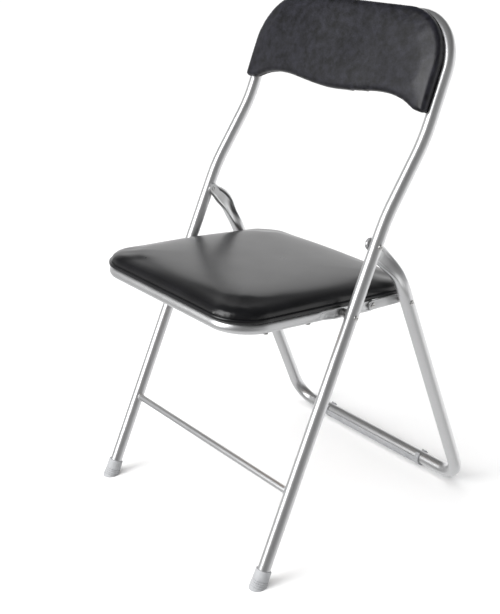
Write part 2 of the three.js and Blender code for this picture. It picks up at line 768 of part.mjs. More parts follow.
// The back pad's outline: round upper corners, and a lower edge that dips in the middle, rises on
// either side of it and falls to a rounded tip at each end.
function backOutline(inset) {
  const half = backPadHalf - inset;
  const top = backPadTop - inset;
  const corner = BACK_PAD_CORNER - inset;
  const low = backPadLow + inset;
  const tip = low - BACK_PAD_TIP;
  const round = BACK_TIP_RADIUS;
  const wavy = BACK_WAVE.map(([out, up]) => [out * half, low + up * BACK_PAD_DIP]).reverse();
  const right = [[BACK_TIP_FROM * half, tip + BACK_TIP_RISE], ...wavy];
  const edge = [...right, [0, low], ...right.map(([x, y]) => [-x, y]).reverse()];
  const wave = new THREE.SplineCurve(edge.map(([x, y]) => new THREE.Vector2(x, y)));
  const shape = new THREE.Shape();
  shape.absarc(half - round, tip + round, round, rad(-90), 0, false);
  shape.absarc(half - corner, top - corner, corner, 0, rad(90), false);
  shape.absarc(-half + corner, top - corner, corner, rad(90), rad(180), false);
  shape.absarc(-half + round, tip + round, round, rad(180), rad(270), false);
  const points = [...shape.getPoints(TIP_STEPS), ...wave.getPoints(WAVE_STEPS).reverse()];
  return new THREE.Shape(points);
}

function backPad() {
  const pad = cushion(backOutline, BACK_PAD_THICK, 0);
  const geometry = geometryOf(pad.subtract(pocket(backOutline(BOARD_INSET - GAP))));
  geometry.translate(0, 0, mainRadius + GAP);
  return leaned(geometry);
}

function backScrewPlaces() {
  return [BACK_SCREW_IN, sideX - HOOP_BEND - BACK_SCREW_OUT].flatMap((out) =>
    [1, -1].map((side) => new THREE.Vector2(side * out, hoopTop)),
  );
}

function backBoard() {
  const holes = backScrewPlaces().map((place) =>
    solid(verticalCylinder(SCREW / 2 + HOLE_GAP, -BOARD, 2 * BOARD, place)),
  );
  const geometry = geometryOf(board(backOutline(BOARD_INSET), holes));
  geometry.translate(0, 0, mainRadius + GAP);
  return leaned(geometry);
}

function backScrewHoles() {
  return backScrewPlaces().map((place) =>
    solid(leaned(verticalCylinder(SCREW / 2 + HOLE_GAP, -MAIN_TUBE, MAIN_TUBE, place))),
  );
}

function backScrew(place) {
  const geometry = screw(MAIN_TUBE + GAP + BOARD - TIP_DEPTH);
  geometry.translate(place.x, place.y, -mainRadius);
  return leaned(geometry);
}

// ---- Links and rivets --------------------------------------------------------------------------

// A flat plate with round ends between the link's two pivots; the rear rivet is set flush inside.
function linkPlate(side) {
  const along = rearPivot.clone().sub(frontPivot);
  const half = LINK_WIDTH / 2;
  const shape = new THREE.Shape();
  shape.absarc(0, 0, half, rad(90), rad(270), false);
  shape.absarc(along.length(), 0, half, rad(-90), rad(90), false);
  const geometry = new THREE.ExtrudeGeometry(new THREE.Shape(shape.getPoints(CURVE_STEPS)), {
    depth: LINK_THICK,
    bevelEnabled: false,
  });
  geometry.rotateZ(along.angle());
  geometry.applyMatrix4(sideToSpace);
  const fromX = side > 0 ? linkInside : -linkOutside;
  geometry.translate(fromX, frontPivot.x, frontPivot.y);
  const hole = RIVET / 2 + HOLE_GAP;
  const reach = [linkInside - HOLE_REACH, linkOutside + HOLE_REACH];
  const front = solid(crossCylinder(hole, side * reach[0], side * reach[1], frontPivot));
  const rear = solid(turned(flushProfile(HOLE_GAP, ...reach), side, rearPivot));
  return geometryOf(cut(solid(geometry), [front, rear]));
}

// The flush end of the rear rivet: a cone inside the link plate, grown by a clearance.
function flushProfile(grow, fromX, toX) {
  const shank = RIVET / 2 + grow;
  const wide = shank + FLUSH_WIDER;
  return [
    [fromX, 0],
    [fromX, wide],
    [linkInside + FLUSH_EDGE, wide],
    [linkInside + FLUSH_DEPTH, shank],
    [toX, shank],
    [toX, 0],
  ];
}

function linkRearRivet(side) {
  const outer = dome(rearOutside + GAP, 1, RIVET_HEAD / 2, RIVET_HEAD_HIGH);
  const shank = flushProfile(0, linkInside, rearOutside + GAP).slice(0, -1);
  return turned([...shank, ...outer], side, rearPivot);
}

// The link's front pivot is in two halves, each held by its own piece: the outer half turns with the
// link plate and ends at its inner face, and the inner half stays in the seat tube's flat end.
function linkFrontRivet(side) {
  const outer = dome(linkOutside + GAP, 1, RIVET_HEAD / 2, RIVET_HEAD_HIGH);
  const shank = [
    [linkInside, 0],
    [linkInside, RIVET / 2],
    [linkOutside + GAP, RIVET / 2],
  ];
  return turned([...shank, ...outer], side, frontPivot);
}

function seatTubeStud(side) {
  const inner = dome(seatFlatInside - GAP, -1, RIVET_HEAD / 2, RIVET_HEAD_HIGH).reverse();
  const shank = [
    [seatFlatInside - GAP, RIVET / 2],
    [seatFlatOutside, RIVET / 2],
    [seatFlatOutside, 0],
  ];
  return turned([...inner, ...shank], side, frontPivot);
}

// ---- Assembly ----------------------------------------------------------------------------------

const silver = { color: 0xb4b6b9, roughness: 0.32, metalness: 0.75 };
const steel = { color: 0x9a9c9e, roughness: 0.3, metalness: 0.9 };
const black = { color: 0x0b0b0c, roughness: 0.42, metalness: 0 };
const grey = { color: 0x85878a, roughness: 0.55, metalness: 0 };
const wood = { color: 0x6b4f35, roughness: 0.8, metalness: 0 };

const chair = new THREE.Group();

function add(name, geometry, look) {
  const mesh = new THREE.Mesh(geometry, new THREE.MeshStandardMaterial(look));
  mesh.name = name;
  chair.add(mesh);
}

add("main_frame", mainFrame(), silver);
add("front_stretcher", frontStretcher(), silver);
add("rear_leg_frame", rearLegFrame(), silver);
add("rear_glide", rearGlide(), grey);
add("seat_frame", seatFrame(), silver);
add("seat_board", seatBoard(), wood);
add("seat_pad", seatPad(), black);
add("back_board", backBoard(), wood);
add("back_pad", backPad(), black);

for (const [side, word] of [
  [1, "right"],
  [-1, "left"],
]) {
  const seatSpacerEnds = [linkInside - LAYER_GAP + GAP, mainInside - GAP];
  const linkSpacerEnds = [linkOutside + GAP, rearInside - GAP];
  add(`foot_cap_${word}`, footCap(side), grey);
  add(`top_pivot_rivet_${word}`, rivet(rearFlatInside, mainOutside, side, topPivot), steel);
  add(`seat_pivot_rivet_${word}`, rivet(seatFlatInside, mainOutside, side, seatPivot), steel);
  add(`seat_pivot_spacer_${word}`, spacer(SEAT_SPACER, ...seatSpacerEnds, side, seatPivot), steel);
  add(`link_plate_${word}`, linkPlate(side), silver);
  add(`link_rear_rivet_${word}`, linkRearRivet(side), steel);
  add(`link_rear_spacer_${word}`, spacer(LINK_SPACER, ...linkSpacerEnds, side, rearPivot), steel);
  add(`link_front_rivet_${word}`, linkFrontRivet(side), steel);
  add(`seat_tube_stud_${word}`, seatTubeStud(side), steel);
}
seatScrewPlaces().forEach((place, i) => add(`seat_screw_${i + 1}`, seatScrew(place), steel));
backScrewPlaces().forEach((place, i) => add(`back_screw_${i + 1}`, backScrew(place), steel));

// The origin moves from under the front legs to under the middle of the bounding box.
const box = new THREE.Box3().setFromObject(chair);
const middle = box.getCenter(new THREE.Vector3());
chair.position.set(-middle.x, -middle.y, -box.min.z);

export default chair;
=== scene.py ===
"""Folding chair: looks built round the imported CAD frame.

Lengths are in metres, and a size is written as millimetres times MM. Angles named LEAN, TILT, AZIMUTH,
ELEVATION and ROLL are in radians.
"""

import json
import math

import bmesh
import bpy
import numpy as np
from mathutils import Matrix, Vector

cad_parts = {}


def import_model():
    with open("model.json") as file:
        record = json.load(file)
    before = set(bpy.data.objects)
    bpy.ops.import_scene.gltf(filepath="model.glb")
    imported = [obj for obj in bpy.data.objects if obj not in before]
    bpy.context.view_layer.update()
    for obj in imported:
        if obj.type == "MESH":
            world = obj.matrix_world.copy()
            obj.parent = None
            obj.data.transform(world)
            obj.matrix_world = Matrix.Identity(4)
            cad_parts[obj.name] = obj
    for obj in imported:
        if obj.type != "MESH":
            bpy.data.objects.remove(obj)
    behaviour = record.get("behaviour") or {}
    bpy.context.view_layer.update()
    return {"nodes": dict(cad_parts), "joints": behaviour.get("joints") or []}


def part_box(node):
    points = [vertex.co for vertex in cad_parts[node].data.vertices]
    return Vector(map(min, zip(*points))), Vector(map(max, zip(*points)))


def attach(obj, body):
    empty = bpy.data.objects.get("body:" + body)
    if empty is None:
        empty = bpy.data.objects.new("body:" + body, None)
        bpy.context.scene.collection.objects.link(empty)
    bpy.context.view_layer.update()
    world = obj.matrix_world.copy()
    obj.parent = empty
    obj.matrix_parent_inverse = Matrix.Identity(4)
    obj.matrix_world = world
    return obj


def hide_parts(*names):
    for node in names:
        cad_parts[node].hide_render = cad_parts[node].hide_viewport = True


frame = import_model()
JOINTS = {j["name"]: j for j in frame["joints"]}
MM = 0.001

# ---- Sizes that the CAD solids also have -----------------------------------------------------------

LEG_LEAN, WAIST_LEAN, BACK_LEAN = (math.radians(a) for a in (25.8, 36.1, 23.7))
REAR_LEAN, SHOULDER_LEAN, SEAT_TILT = (math.radians(a) for a in (21.0, 43.8, 5.5))
SIDE_X, MAIN_R = 210 * MM, 10 * MM
REAR_X, REAR_R = 209.2 * MM, 11 * MM
SEAT_X, SEAT_R = 180.5 * MM, 9 * MM
ROD_R, ROD_HEIGHT = 5.5 * MM, 134 * MM
GAP = 0.3 * MM  # between pieces that touch
SIDE_ROOM = 0.6 * MM  # between the moving side pieces
GLIDE_SOLE = 2.2 * MM
WAIST_BEND, HOOP_BEND = 250 * MM, 81 * MM
REAR_BEND, SHOULDER_BEND = 40 * MM, 220 * MM
SEAT_BEND, SEAT_TUBE_FRONT = 52 * MM, -192 * MM
END_MARGIN = 8.5 * MM  # from a pivot to the end of its tube
FLAT_PLATE = 2.52 * MM  # half the thickness of a tube's flattened end
LINK_THICK, LINK_HALF = 3 * MM, 7.5 * MM
LINK_IN = SEAT_X + SEAT_R + SIDE_ROOM
LINK_OUT = LINK_IN + LINK_THICK

SEAT_PIVOT = Vector(JOINTS["seat_fold"]["pos_m"])
TOP_PIVOT = Vector(JOINTS["rear_leg_fold"]["pos_m"])
LINK_REAR = Vector(JOINTS["link_swing"]["pos_m"])
CRANK = 60 * MM
LINK_FRONT = SEAT_PIVOT + (LINK_REAR - SEAT_PIVOT).normalized() * CRANK
LEG_FOOT = TOP_PIVOT - Vector((0, math.tan(LEG_LEAN), 1)) * TOP_PIVOT.z


def up_along(start, rise, lean):
    return start + Vector((0, math.tan(lean), 1)) * rise


WAIST_LOW = up_along(TOP_PIVOT, 39 * MM, LEG_LEAN)
WAIST_HIGH = up_along(WAIST_LOW, 105 * MM, WAIST_LEAN)
HOOP_TOP = up_along(WAIST_HIGH, 169 * MM, BACK_LEAN)
REAR_BAR_Z = REAR_R + GAP + GLIDE_SOLE
REAR_BAR = LINK_REAR - Vector((0, -math.tan(REAR_LEAN), 1)) * (LINK_REAR.z - REAR_BAR_Z)


def at_x(place, x):
    return Vector((x, place.y, place.z))


# ---- Node materials --------------------------------------------------------------------------------


class Shader:
    """A material whose nodes are added one call at a time and wired by name."""

    def __init__(self, name):
        self.material = bpy.data.materials.new(name)
        self.material.use_nodes = True
        self.nodes = self.material.node_tree.nodes
        self.links = self.material.node_tree.links
        self.bsdf = self.nodes["Principled BSDF"]
        self.place = self.add("ShaderNodeTexCoord").outputs["Object"]

    def add(self, kind, **values):
        node = self.nodes.new(kind)
        for key, value in values.items():
            setattr(node, key, value)
        return node

    def set(self, **values):
        for key, value in values.items():
            self.bsdf.inputs[key.replace("_", " ")].default_value = value

    def noise(self, scale, detail=3.0, rough=0.5, stretch=None, distortion=0.0):
        node = self.add("ShaderNodeTexNoise")
        source = self.place
        if stretch:
            mapping = self.add("ShaderNodeMapping")
            mapping.inputs["Scale"].default_value = stretch
            self.links.new(source, mapping.inputs["Vector"])
            source = mapping.outputs["Vector"]
        self.links.new(source, node.inputs["Vector"])
        node.inputs["Scale"].default_value = scale
        node.inputs["Detail"].default_value = detail
        node.inputs["Roughness"].default_value = rough
        node.inputs["Distortion"].default_value = distortion
        return node.outputs["Fac"]

    def cells(self, scale, randomness=1.0, output="Distance"):
        node = self.add("ShaderNodeTexVoronoi")
        self.links.new(self.place, node.inputs["Vector"])
        node.inputs["Scale"].default_value = scale
        node.inputs["Randomness"].default_value = randomness
        return node.outputs[output]

    def ramp(self, source, stops):
        """Each stop is (place, tone), and a tone is one number or three."""
        node = self.add("ShaderNodeValToRGB")
        elements = node.color_ramp.elements
        while len(elements) < len(stops):
            elements.new(0.5)
        for element, (at, colour) in zip(elements, stops):
            element.position = at
            grey = (colour,) * 3 if isinstance(colour, (int, float)) else colour
            element.color = (*grey, 1)
        self.links.new(source, node.inputs["Fac"])
        return node.outputs["Color"]

    def mix(self, amount, a, b, blend="MIX"):
        node = self.add("ShaderNodeMix", data_type="RGBA", blend_type=blend)
        if isinstance(amount, (int, float)):
            node.inputs["Factor"].default_value = amount
        else:
            self.links.new(amount, node.inputs["Factor"])
        self.links.new(a, node.inputs["A"])
        self.links.new(b, node.inputs["B"])
        return node.outputs["Result"]

    def colour(self, source):
        self.links.new(source, self.bsdf.inputs["Base Color"])

    def roughness(self, source):
        self.links.new(source, self.bsdf.inputs["Roughness"])

    def bump(self, *layers):
        """Each layer is (height, distance in mm, strength); they add up."""
        normal = None
        for height, distance, strength in layers:
            node = self.add("ShaderNodeBump")
            node.inputs["Distance"].default_value = distance * MM
            node.inputs["Strength"].default_value = strength
            self.links.new(height, node.inputs["Height"])
            if normal:
                self.links.new(normal, node.inputs["Normal"])
            normal = node.outputs["Normal"]
        self.links.new(normal, self.bsdf.inputs["Normal"])


def silver_paint():
    """Satin silver paint: fine metal flakes, a slight orange peel and faint rubbed patches."""
    s = Shader("silver_paint")
    s.set(Metallic=0.9, Coat_Weight=0.12, Coat_Roughness=0.2)
    flake_size = 1900
    flakes = s.ramp(s.cells(flake_size, output="Color"), [(0.1, 0.56), (0.9, 0.64)])
    patches = s.ramp(s.noise(14, 4, 0.6), [(0.3, (0.565, 0.57, 0.58)), (0.75, (0.62, 0.625, 0.635))])
    s.colour(s.mix(0.45, patches, flakes))
    worn = s.noise(36, 6, 0.65)
    s.roughness(s.ramp(worn, [(0.25, 0.33), (0.6, 0.38), (0.85, 0.44)]))
    s.bump((s.noise(260, 2, 0.5), 0.05, 0.03), (s.cells(flake_size), 0.012, 0.04))
    return s.material


def black_vinyl(name, grain, sheen, tones, mottle, depth, gloss):
    """Black PVC leathercloth: a pebbled grain over soft dents, and a patchy satin gloss.

    tones and gloss are each the two ends of a range; a larger mottle gives smaller patches.
    """
    s = Shader(name)
    s.set(Specular_IOR_Level=sheen)
    pores = s.cells(grain, randomness=0.9)
    tone = s.ramp(s.noise(mottle, 6, 0.65), [(0.36, tones[0]), (0.66, tones[1])])
    # Painted light and shade on the grain: each pebble's middle is lightened and the creases between pebbles
    # are darkened.
    painted_grain_shade = s.ramp(pores, [(0.0, 1.25), (0.35, 1.0), (0.8, 0.75)])
    s.colour(s.mix(1.0, tone, painted_grain_shade, blend="MULTIPLY"))
    s.roughness(s.ramp(s.noise(16, 3, 0.5), [(0.25, gloss[0]), (0.75, gloss[1])]))
    s.bump(
        (s.noise(7, 1, 0.4), 2.2, 0.06),
        (pores, 0.16, 0.4 * depth),
        (s.noise(grain * 0.62, 4, 0.6, distortion=0.4), 0.14, 0.35 * depth),
        (s.noise(grain * 3.1, 2, 0.5), 0.04, 0.3 * depth),
    )
    return s.material


def grey_plastic():
    s = Shader("grey_plastic")
    s.set(Specular_IOR_Level=0.42)
    s.colour(s.ramp(s.noise(60, 5, 0.6), [(0.3, (0.27, 0.275, 0.285)), (0.7, (0.35, 0.355, 0.365))]))
    s.roughness(s.ramp(s.noise(130, 4, 0.6), [(0.3, 0.46), (0.7, 0.62)]))
    s.bump((s.noise(700, 3, 0.6), 0.06, 0.5), (s.noise(70, 3, 0.5), 0.15, 0.2))
    return s.material


def plated_steel():
    s = Shader("plated_steel")
    s.set(Metallic=1.0)
    s.colour(s.ramp(s.noise(240, 5, 0.6), [(0.3, (0.5, 0.5, 0.5)), (0.7, (0.66, 0.655, 0.64))]))
    s.roughness(s.ramp(s.noise(500, 5, 0.7), [(0.25, 0.2), (0.75, 0.38)]))
    s.bump((s.noise(900, 4, 0.6), 0.04, 0.4), (s.noise(160, 3, 0.5), 0.06, 0.3))
    return s.material


def fibreboard():
    s = Shader("fibreboard")
    s.set(Specular_IOR_Level=0.3)
    fibres = s.noise(420, 8, 0.7, stretch=(1, 3.5, 1), distortion=0.6)
    browns = [(0.2, (0.11, 0.062, 0.034)), (0.5, (0.2, 0.125, 0.072)), (0.85, (0.33, 0.22, 0.135))]
    base = s.ramp(fibres, browns)
    stains = s.ramp(s.noise(7, 5, 0.6), [(0.3, 0.78), (0.7, 1.05)])
    s.colour(s.mix(1.0, base, stains, blend="MULTIPLY"))
    s.roughness(s.ramp(fibres, [(0.2, 0.88), (0.8, 0.66)]))
    s.bump((fibres, 0.2, 0.6))
    return s.material


SILVER = silver_paint()
SEAT_VINYL = black_vinyl(
    "seat_vinyl",
    grain=950,
    sheen=0.5,
    tones=((0.003, 0.003, 0.0035), (0.005, 0.005, 0.006)),
    mottle=22,
    depth=0.12,
    gloss=(0.27, 0.31),
)
BACK_VINYL = black_vinyl(
    "back_vinyl",
    grain=700,
    sheen=0.42,
    tones=((0.002, 0.002, 0.003), (0.013, 0.013, 0.019)),
    mottle=75,
    depth=0.6,
    gloss=(0.36, 0.5),
)
GREY = grey_plastic()
STEEL = plated_steel()
BOARD = fibreboard()

# ---- Mesh helpers ----------------------------------------------------------------------------------


def finish_object(name, mesh, material, body, replaced=(), sharp=40):
    """Puts a mesh in the scene on its body; edges sharper than sharp degrees stay hard."""
    mesh.validate()
    obj = bpy.data.objects.new(name, mesh)
    bpy.context.scene.collection.objects.link(obj)
    for polygon in mesh.polygons:
        polygon.use_smooth = True
    mesh.set_sharp_from_angle(angle=math.radians(sharp))
    mesh.materials.clear()
    mesh.materials.append(material)
    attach(obj, body)
    if replaced:
        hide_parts(*replaced)
    return obj


def outward(mesh):
    """Makes every face point outwards."""
    work = bmesh.new()
    work.from_mesh(mesh)
    bmesh.ops.recalc_face_normals(work, faces=work.faces)
    work.to_mesh(mesh)
    work.free()
    return mesh


def rings_mesh(name, rings, closed=False):
    """A skin over rings of equal length; closed joins the last to the first, and else both get caps."""
    count, verts = len(rings[0]), [tuple(p) for ring in rings for p in ring]
    faces = []
    pairs = list(range(len(rings) - 1)) + ([len(rings) - 1] if closed else [])
    for i in pairs:
        a, b = i * count, ((i + 1) % len(rings)) * count
        for k in range(count):
            n = (k + 1) % count
            faces.append((a + k, a + n, b + n, b + k))
    if not closed:
        faces.append(tuple(range(count))[::-1])
        faces.append(tuple(range((len(rings) - 1) * count, len(rings) * count)))
    mesh = bpy.data.meshes.new(name)
    mesh.from_pydata(verts, [], faces)
    return outward(mesh)


def joined(name, *meshes):
    """One mesh out of several, whose separate shells stay as they are."""
    work = bmesh.new()
    for mesh in meshes:
        work.from_mesh(mesh)
    made = bpy.data.meshes.new(name)
    work.to_mesh(made)
    work.free()
    return made


LEAST_STEP = 0.2 * MM  # between two stations of a path
ON_AXIS = 1e-7  # a radius below this is a point on the axis


class BentPath:
    """A centre line with round bends: stations of (point, direction, length from the start)."""

    def __init__(self, corners, radii, step=3.5):
        self.stations = []
        self.put(corners[0], (corners[1] - corners[0]).normalized())
        for i, radius in enumerate(radii, 1):
            self.bend(corners[i - 1], corners[i], corners[i + 1], radius, math.radians(step))
        self.put(corners[-1], (corners[-1] - corners[-2]).normalized())

    def put(self, point, way):
        length = 0.0
        if self.stations:
            last = self.stations[-1]
            length = last[2] + (point - last[0]).length
        self.stations.append((point.copy(), way.copy(), length))

    def bend(self, before, corner, after, radius, step):
        into, out = (corner - before).normalized(), (after - corner).normalized()
        turn = into.angle(out)
        axis = into.cross(out).normalized()
        start = corner - into * radius * math.tan(turn / 2)
        spoke = -(axis.cross(into)) * radius
        centre = start - spoke
        steps = max(2, math.ceil(turn / step))
        for k in range(steps + 1):
            spin = Matrix.Rotation(turn * k / steps, 3, axis)
            self.put(centre + spin @ spoke, spin @ into)

    @property
    def length(self):
        return self.stations[-1][2]

    def split(self, wanted):
        """Adds stations at the given lengths from the start, unless one is close already."""
        for length in sorted(wanted):
            for i in range(len(self.stations) - 1):
                a, b = self.stations[i], self.stations[i + 1]
                if a[2] + LEAST_STEP < length < b[2] - LEAST_STEP:
                    share = (length - a[2]) / (b[2] - a[2])
                    at = a[0].lerp(b[0], share)
                    self.stations.insert(i + 1, (at, a[1].lerp(b[1], share).normalized(), length))
                    break
        return self


def tube_rings(path, section, first_side):
    """Rings along a path. section(from_start, from_end) gives points (sideways, across)."""
    rings, side, before = [], first_side.copy(), None
    for point, way, length in path.stations:
        if before is not None:
            side.rotate(before.rotation_difference(way))
        side = (side - way * side.dot(way)).normalized()
        across = way.cross(side)
        rings.append([point + side * u + across * v for u, v in section(length, path.length - length)])
        before = way
    return rings


def circle(radius, sides):
    return [
        (radius * math.cos(2 * math.pi * k / sides), radius * math.sin(2 * math.pi * k / sides))
        for k in range(sides)
    ]


def smoothstep(a, b, x):
    t = min(1.0, max(0.0, (x - a) / (b - a)))
    return t * t * (3 - 2 * t)


def lathe_mesh(name, profile, origin, axis, sides=32):
    """Turns a profile of (along, radius) round an axis; it starts and ends on the axis or closes."""
    axis = Vector(axis).normalized()
    side = axis.orthogonal().normalized()
    across = axis.cross(side)
    verts, faces, index = [], [], []
    for along, radius in profile:
        if radius < ON_AXIS:
            index.append([len(verts)] * sides)
            verts.append(tuple(origin + axis * along))
            continue
        index.append(list(range(len(verts), len(verts) + sides)))
        for k in range(sides):
            a = 2 * math.pi * k / sides
            verts.append(tuple(origin + axis * along + (side * math.cos(a) + across * math.sin(a)) * radius))
    closes = profile[0][1] > ON_AXIS and profile[-1][1] > ON_AXIS
    loops = list(zip(index, index[1:])) + ([(index[-1], index[0])] if closes else [])
    for a, b in loops:
        for k in range(sides):
            n = (k + 1) % sides
            corners = [a[k], a[n], b[n], b[k]]
            corners = [c for i, c in enumerate(corners) if c not in corners[:i]]
            if len(corners) > 2:
                faces.append(tuple(corners))
    mesh = bpy.data.meshes.new(name)
    mesh.from_pydata(verts, [], faces)
    return outward(mesh)


def arc(centre, radius, start, end, steps):
    """Points (x, y) on an arc, in degrees."""
    return [
        (
            centre[0] + radius * math.cos(math.radians(start + (end - start) * k / steps)),
            centre[1] + radius * math.sin(math.radians(start + (end - start) * k / steps)),
        )
        for k in range(steps + 1)
    ]


# ---- Tube frames -----------------------------------------------------------------------------------

SIDES, ROD_SIDES = 40, 28
CAP_FLOOR = 3 * MM  # of a foot cap, below its tube
LEG_WAY = Vector((0, math.sin(LEG_LEAN), math.cos(LEG_LEAN)))
TUBE_START = LEG_FOOT + LEG_WAY * ((CAP_FLOOR + GAP) / LEG_WAY.z + MAIN_R * math.tan(LEG_LEAN))


def both_sides(places, x):
    right = [at_x(p, x) for p in places]
    left = [at_x(p, -x) for p in reversed(places)]
    return right + left


def main_frame():
    corners = both_sides([TUBE_START, WAIST_LOW, WAIST_HIGH, HOOP_TOP], SIDE_X)
    bends = [WAIST_BEND, WAIST_BEND, HOOP_BEND]
    path = BentPath(corners, bends + bends[::-1])
    rings = tube_rings(path, lambda a, b: circle(MAIN_R, SIDES), Vector((1, 0, 0)))
    mesh = rings_mesh("main_frame_tube", rings)
    finish_object("main_frame_tube", mesh, SILVER, "frame", ["main_frame"])


def weld_bead(centre, axis, radius, seed):
    """A lumpy ring of weld where a rod meets a tube."""
    axis = axis.normalized()
    side = axis.orthogonal().normalized()
    across = axis.cross(side)
    rings, around, section, bead_r = [], 44, 10, 1.5 * MM
    for i in range(around):
        a = 2 * math.pi * i / around
        out = side * math.cos(a) + across * math.sin(a)
        lump = 1 + 0.14 * math.sin(11 * a + seed) + 0.08 * math.sin(5 * a + 2 * seed)
        ring = []
        for u, v in circle(bead_r * lump, section):
            ring.append(centre + out * (radius + u) + axis * v)
        rings.append(ring)
    return rings_mesh("bead", rings, closed=True)


def front_stretcher():
    middle = up_along(LEG_FOOT, ROD_HEIGHT, LEG_LEAN)
    reach = SIDE_X - MAIN_R * math.cos(math.asin(ROD_R / MAIN_R)) - GAP
    path = BentPath([at_x(middle, reach), at_x(middle, -reach)], [])
    rod = rings_mesh("rod", tube_rings(path, lambda a, b: circle(ROD_R, ROD_SIDES), Vector((0, 1, 0))))
    finish_object("stretcher_rod", rod, SILVER, "frame", ["front_stretcher"])
    for side, word in ((1, "right"), (-1, "left")):
        centre = at_x(middle, side * (SIDE_X - MAIN_R + 0.1 * MM))
        bead = weld_bead(centre, Vector((side, 0, 0)), ROD_R - 0.2 * MM, side)
        finish_object(f"stretcher_weld_{word}", bead, SILVER, "frame", sharp=80)


def pressed_section(radius, half, plate, rim, shift, past, flat, blend, lag, sides=64):
    """The section of a tube at a distance past the pivot in its flattened end.

    The end is a plate between two rolled rims. Further on the rims open to a round tube first, and
    the middle, which keeps a groove, last.
    """
    edge = 1 - smoothstep(flat, flat + blend, past)
    core = 1 - smoothstep(flat + 0.3 * blend, flat + blend + lag, past)
    width = half
    if past < 0:
        width = math.sqrt(max(half * half - past * past, (0.28 * half) ** 2))
    points = []
    for k in range(sides):
        a = 2 * math.pi * k / sides
        u, v = math.cos(a), math.sin(a)
        place = abs(v) * width
        roll = math.sqrt(max(rim * rim - (place - width + rim) ** 2, 0))
        thick = roll if place > width - rim else max(roll, plate)
        thick *= min(1.0, abs(u) * 6)
        pressed = edge + (core - edge) * (1 - v * v) ** 1.5
        points.append(
            (
                radius * u + (math.copysign(thick, u) - radius * u) * pressed + shift * edge,
                radius * v + (v * width - radius * v) * edge,
            )
        )
    return points


def shoulder_point():
    """Where the line of the rear leg's flattened end meets the line of the leg."""
    drop = (LINK_REAR.y - TOP_PIVOT.y - (TOP_PIVOT.z - LINK_REAR.z) * math.tan(REAR_LEAN)) / (
        math.tan(SHOULDER_LEAN) - math.tan(REAR_LEAN)
    )
    return TOP_PIVOT + Vector((0, math.tan(SHOULDER_LEAN), -1)) * drop


def split_ends(path, stretch):
    """Close stations over each flattened end, as far as stretch."""
    fine, coarse = 1.2 * MM, 3 * MM
    fine_steps, coarse_from = 9, 4
    near = [k * fine for k in range(1, fine_steps)]
    near += [k * coarse for k in range(coarse_from, round(stretch / coarse))]
    return path.split(near + [path.length - d for d in near])


def rear_legs():
    shoulder = shoulder_point()
    way = (TOP_PIVOT - shoulder).normalized()
    end = TOP_PIVOT + way * END_MARGIN
    corners = both_sides([end, shoulder, REAR_BAR], REAR_X)
    path = BentPath(corners, [SHOULDER_BEND, REAR_BEND, REAR_BEND, SHOULDER_BEND], step=2)
    split_ends(path, 132 * MM)
    outside = SIDE_X - MAIN_R - SIDE_ROOM

    def section(a, b):
        past = min(a, b) - END_MARGIN
        half = (9.5 + 4.5 * smoothstep(0, 28 * MM, past)) * MM
        opened = smoothstep(5 * MM, 22 * MM, past)
        rim, plate = (2.4 + 1.1 * opened) * MM, (2.3 - 1.5 * opened) * MM
        shift = outside - rim - REAR_X
        return pressed_section(REAR_R, half, plate, rim, shift, past, 32 * MM, 48 * MM, 40 * MM)

    mesh = rings_mesh("rear_leg_tube", tube_rings(path, section, Vector((1, 0, 0))))
    finish_object("rear_leg_tube", mesh, SILVER, "rear_legs", ["rear_leg_frame"])


def in_seat(x, y, z):
    """A point given in the seat's own level frame, from the seat pivot."""
    spin = Matrix.Rotation(-SEAT_TILT, 3, "X")
    return at_x(SEAT_PIVOT, 0) + spin @ Vector((x, y, z))


def seat_tube():
    spin = Matrix.Rotation(SEAT_TILT, 3, "X")
    rear = (spin @ (LINK_FRONT - SEAT_PIVOT)).y
    y = rear + END_MARGIN
    corners = [
        in_seat(SEAT_X, y, 0),
        in_seat(SEAT_X, SEAT_TUBE_FRONT, 0),
        in_seat(-SEAT_X, SEAT_TUBE_FRONT, 0),
        in_seat(-SEAT_X, y, 0),
    ]
    path = split_ends(BentPath(corners, [SEAT_BEND, SEAT_BEND]), 126 * MM)
    flat_x = SEAT_X + SEAT_R - FLAT_PLATE

    def section(a, b):
        past = min(a, b) - END_MARGIN
        return pressed_section(
            SEAT_R, 9 * MM, 1.5 * MM, 2.5 * MM, flat_x - SEAT_X, past, rear + 9 * MM, 27 * MM, 14 * MM
        )

    mesh = rings_mesh("seat_tube", tube_rings(path, section, Vector((1, 0, 0))))
    finish_object("seat_tube", mesh, SILVER, "seat", ["seat_frame"])


# ---- Feet and glide --------------------------------------------------------------------------------


def cut_at_floor(mesh):
    work = bmesh.new()
    work.from_mesh(mesh)
    whole = work.verts[:] + work.edges[:] + work.faces[:]
    cut = bmesh.ops.bisect_plane(
        work, geom=whole, plane_co=(0, 0, 0), plane_no=(0, 0, -1), clear_outer=True
    )
    edges = [e for e in cut["geom_cut"] if isinstance(e, bmesh.types.BMEdge)]
    bmesh.ops.holes_fill(work, edges=edges)
    bmesh.ops.recalc_face_normals(work, faces=work.faces)
    work.to_mesh(mesh)
    work.free()


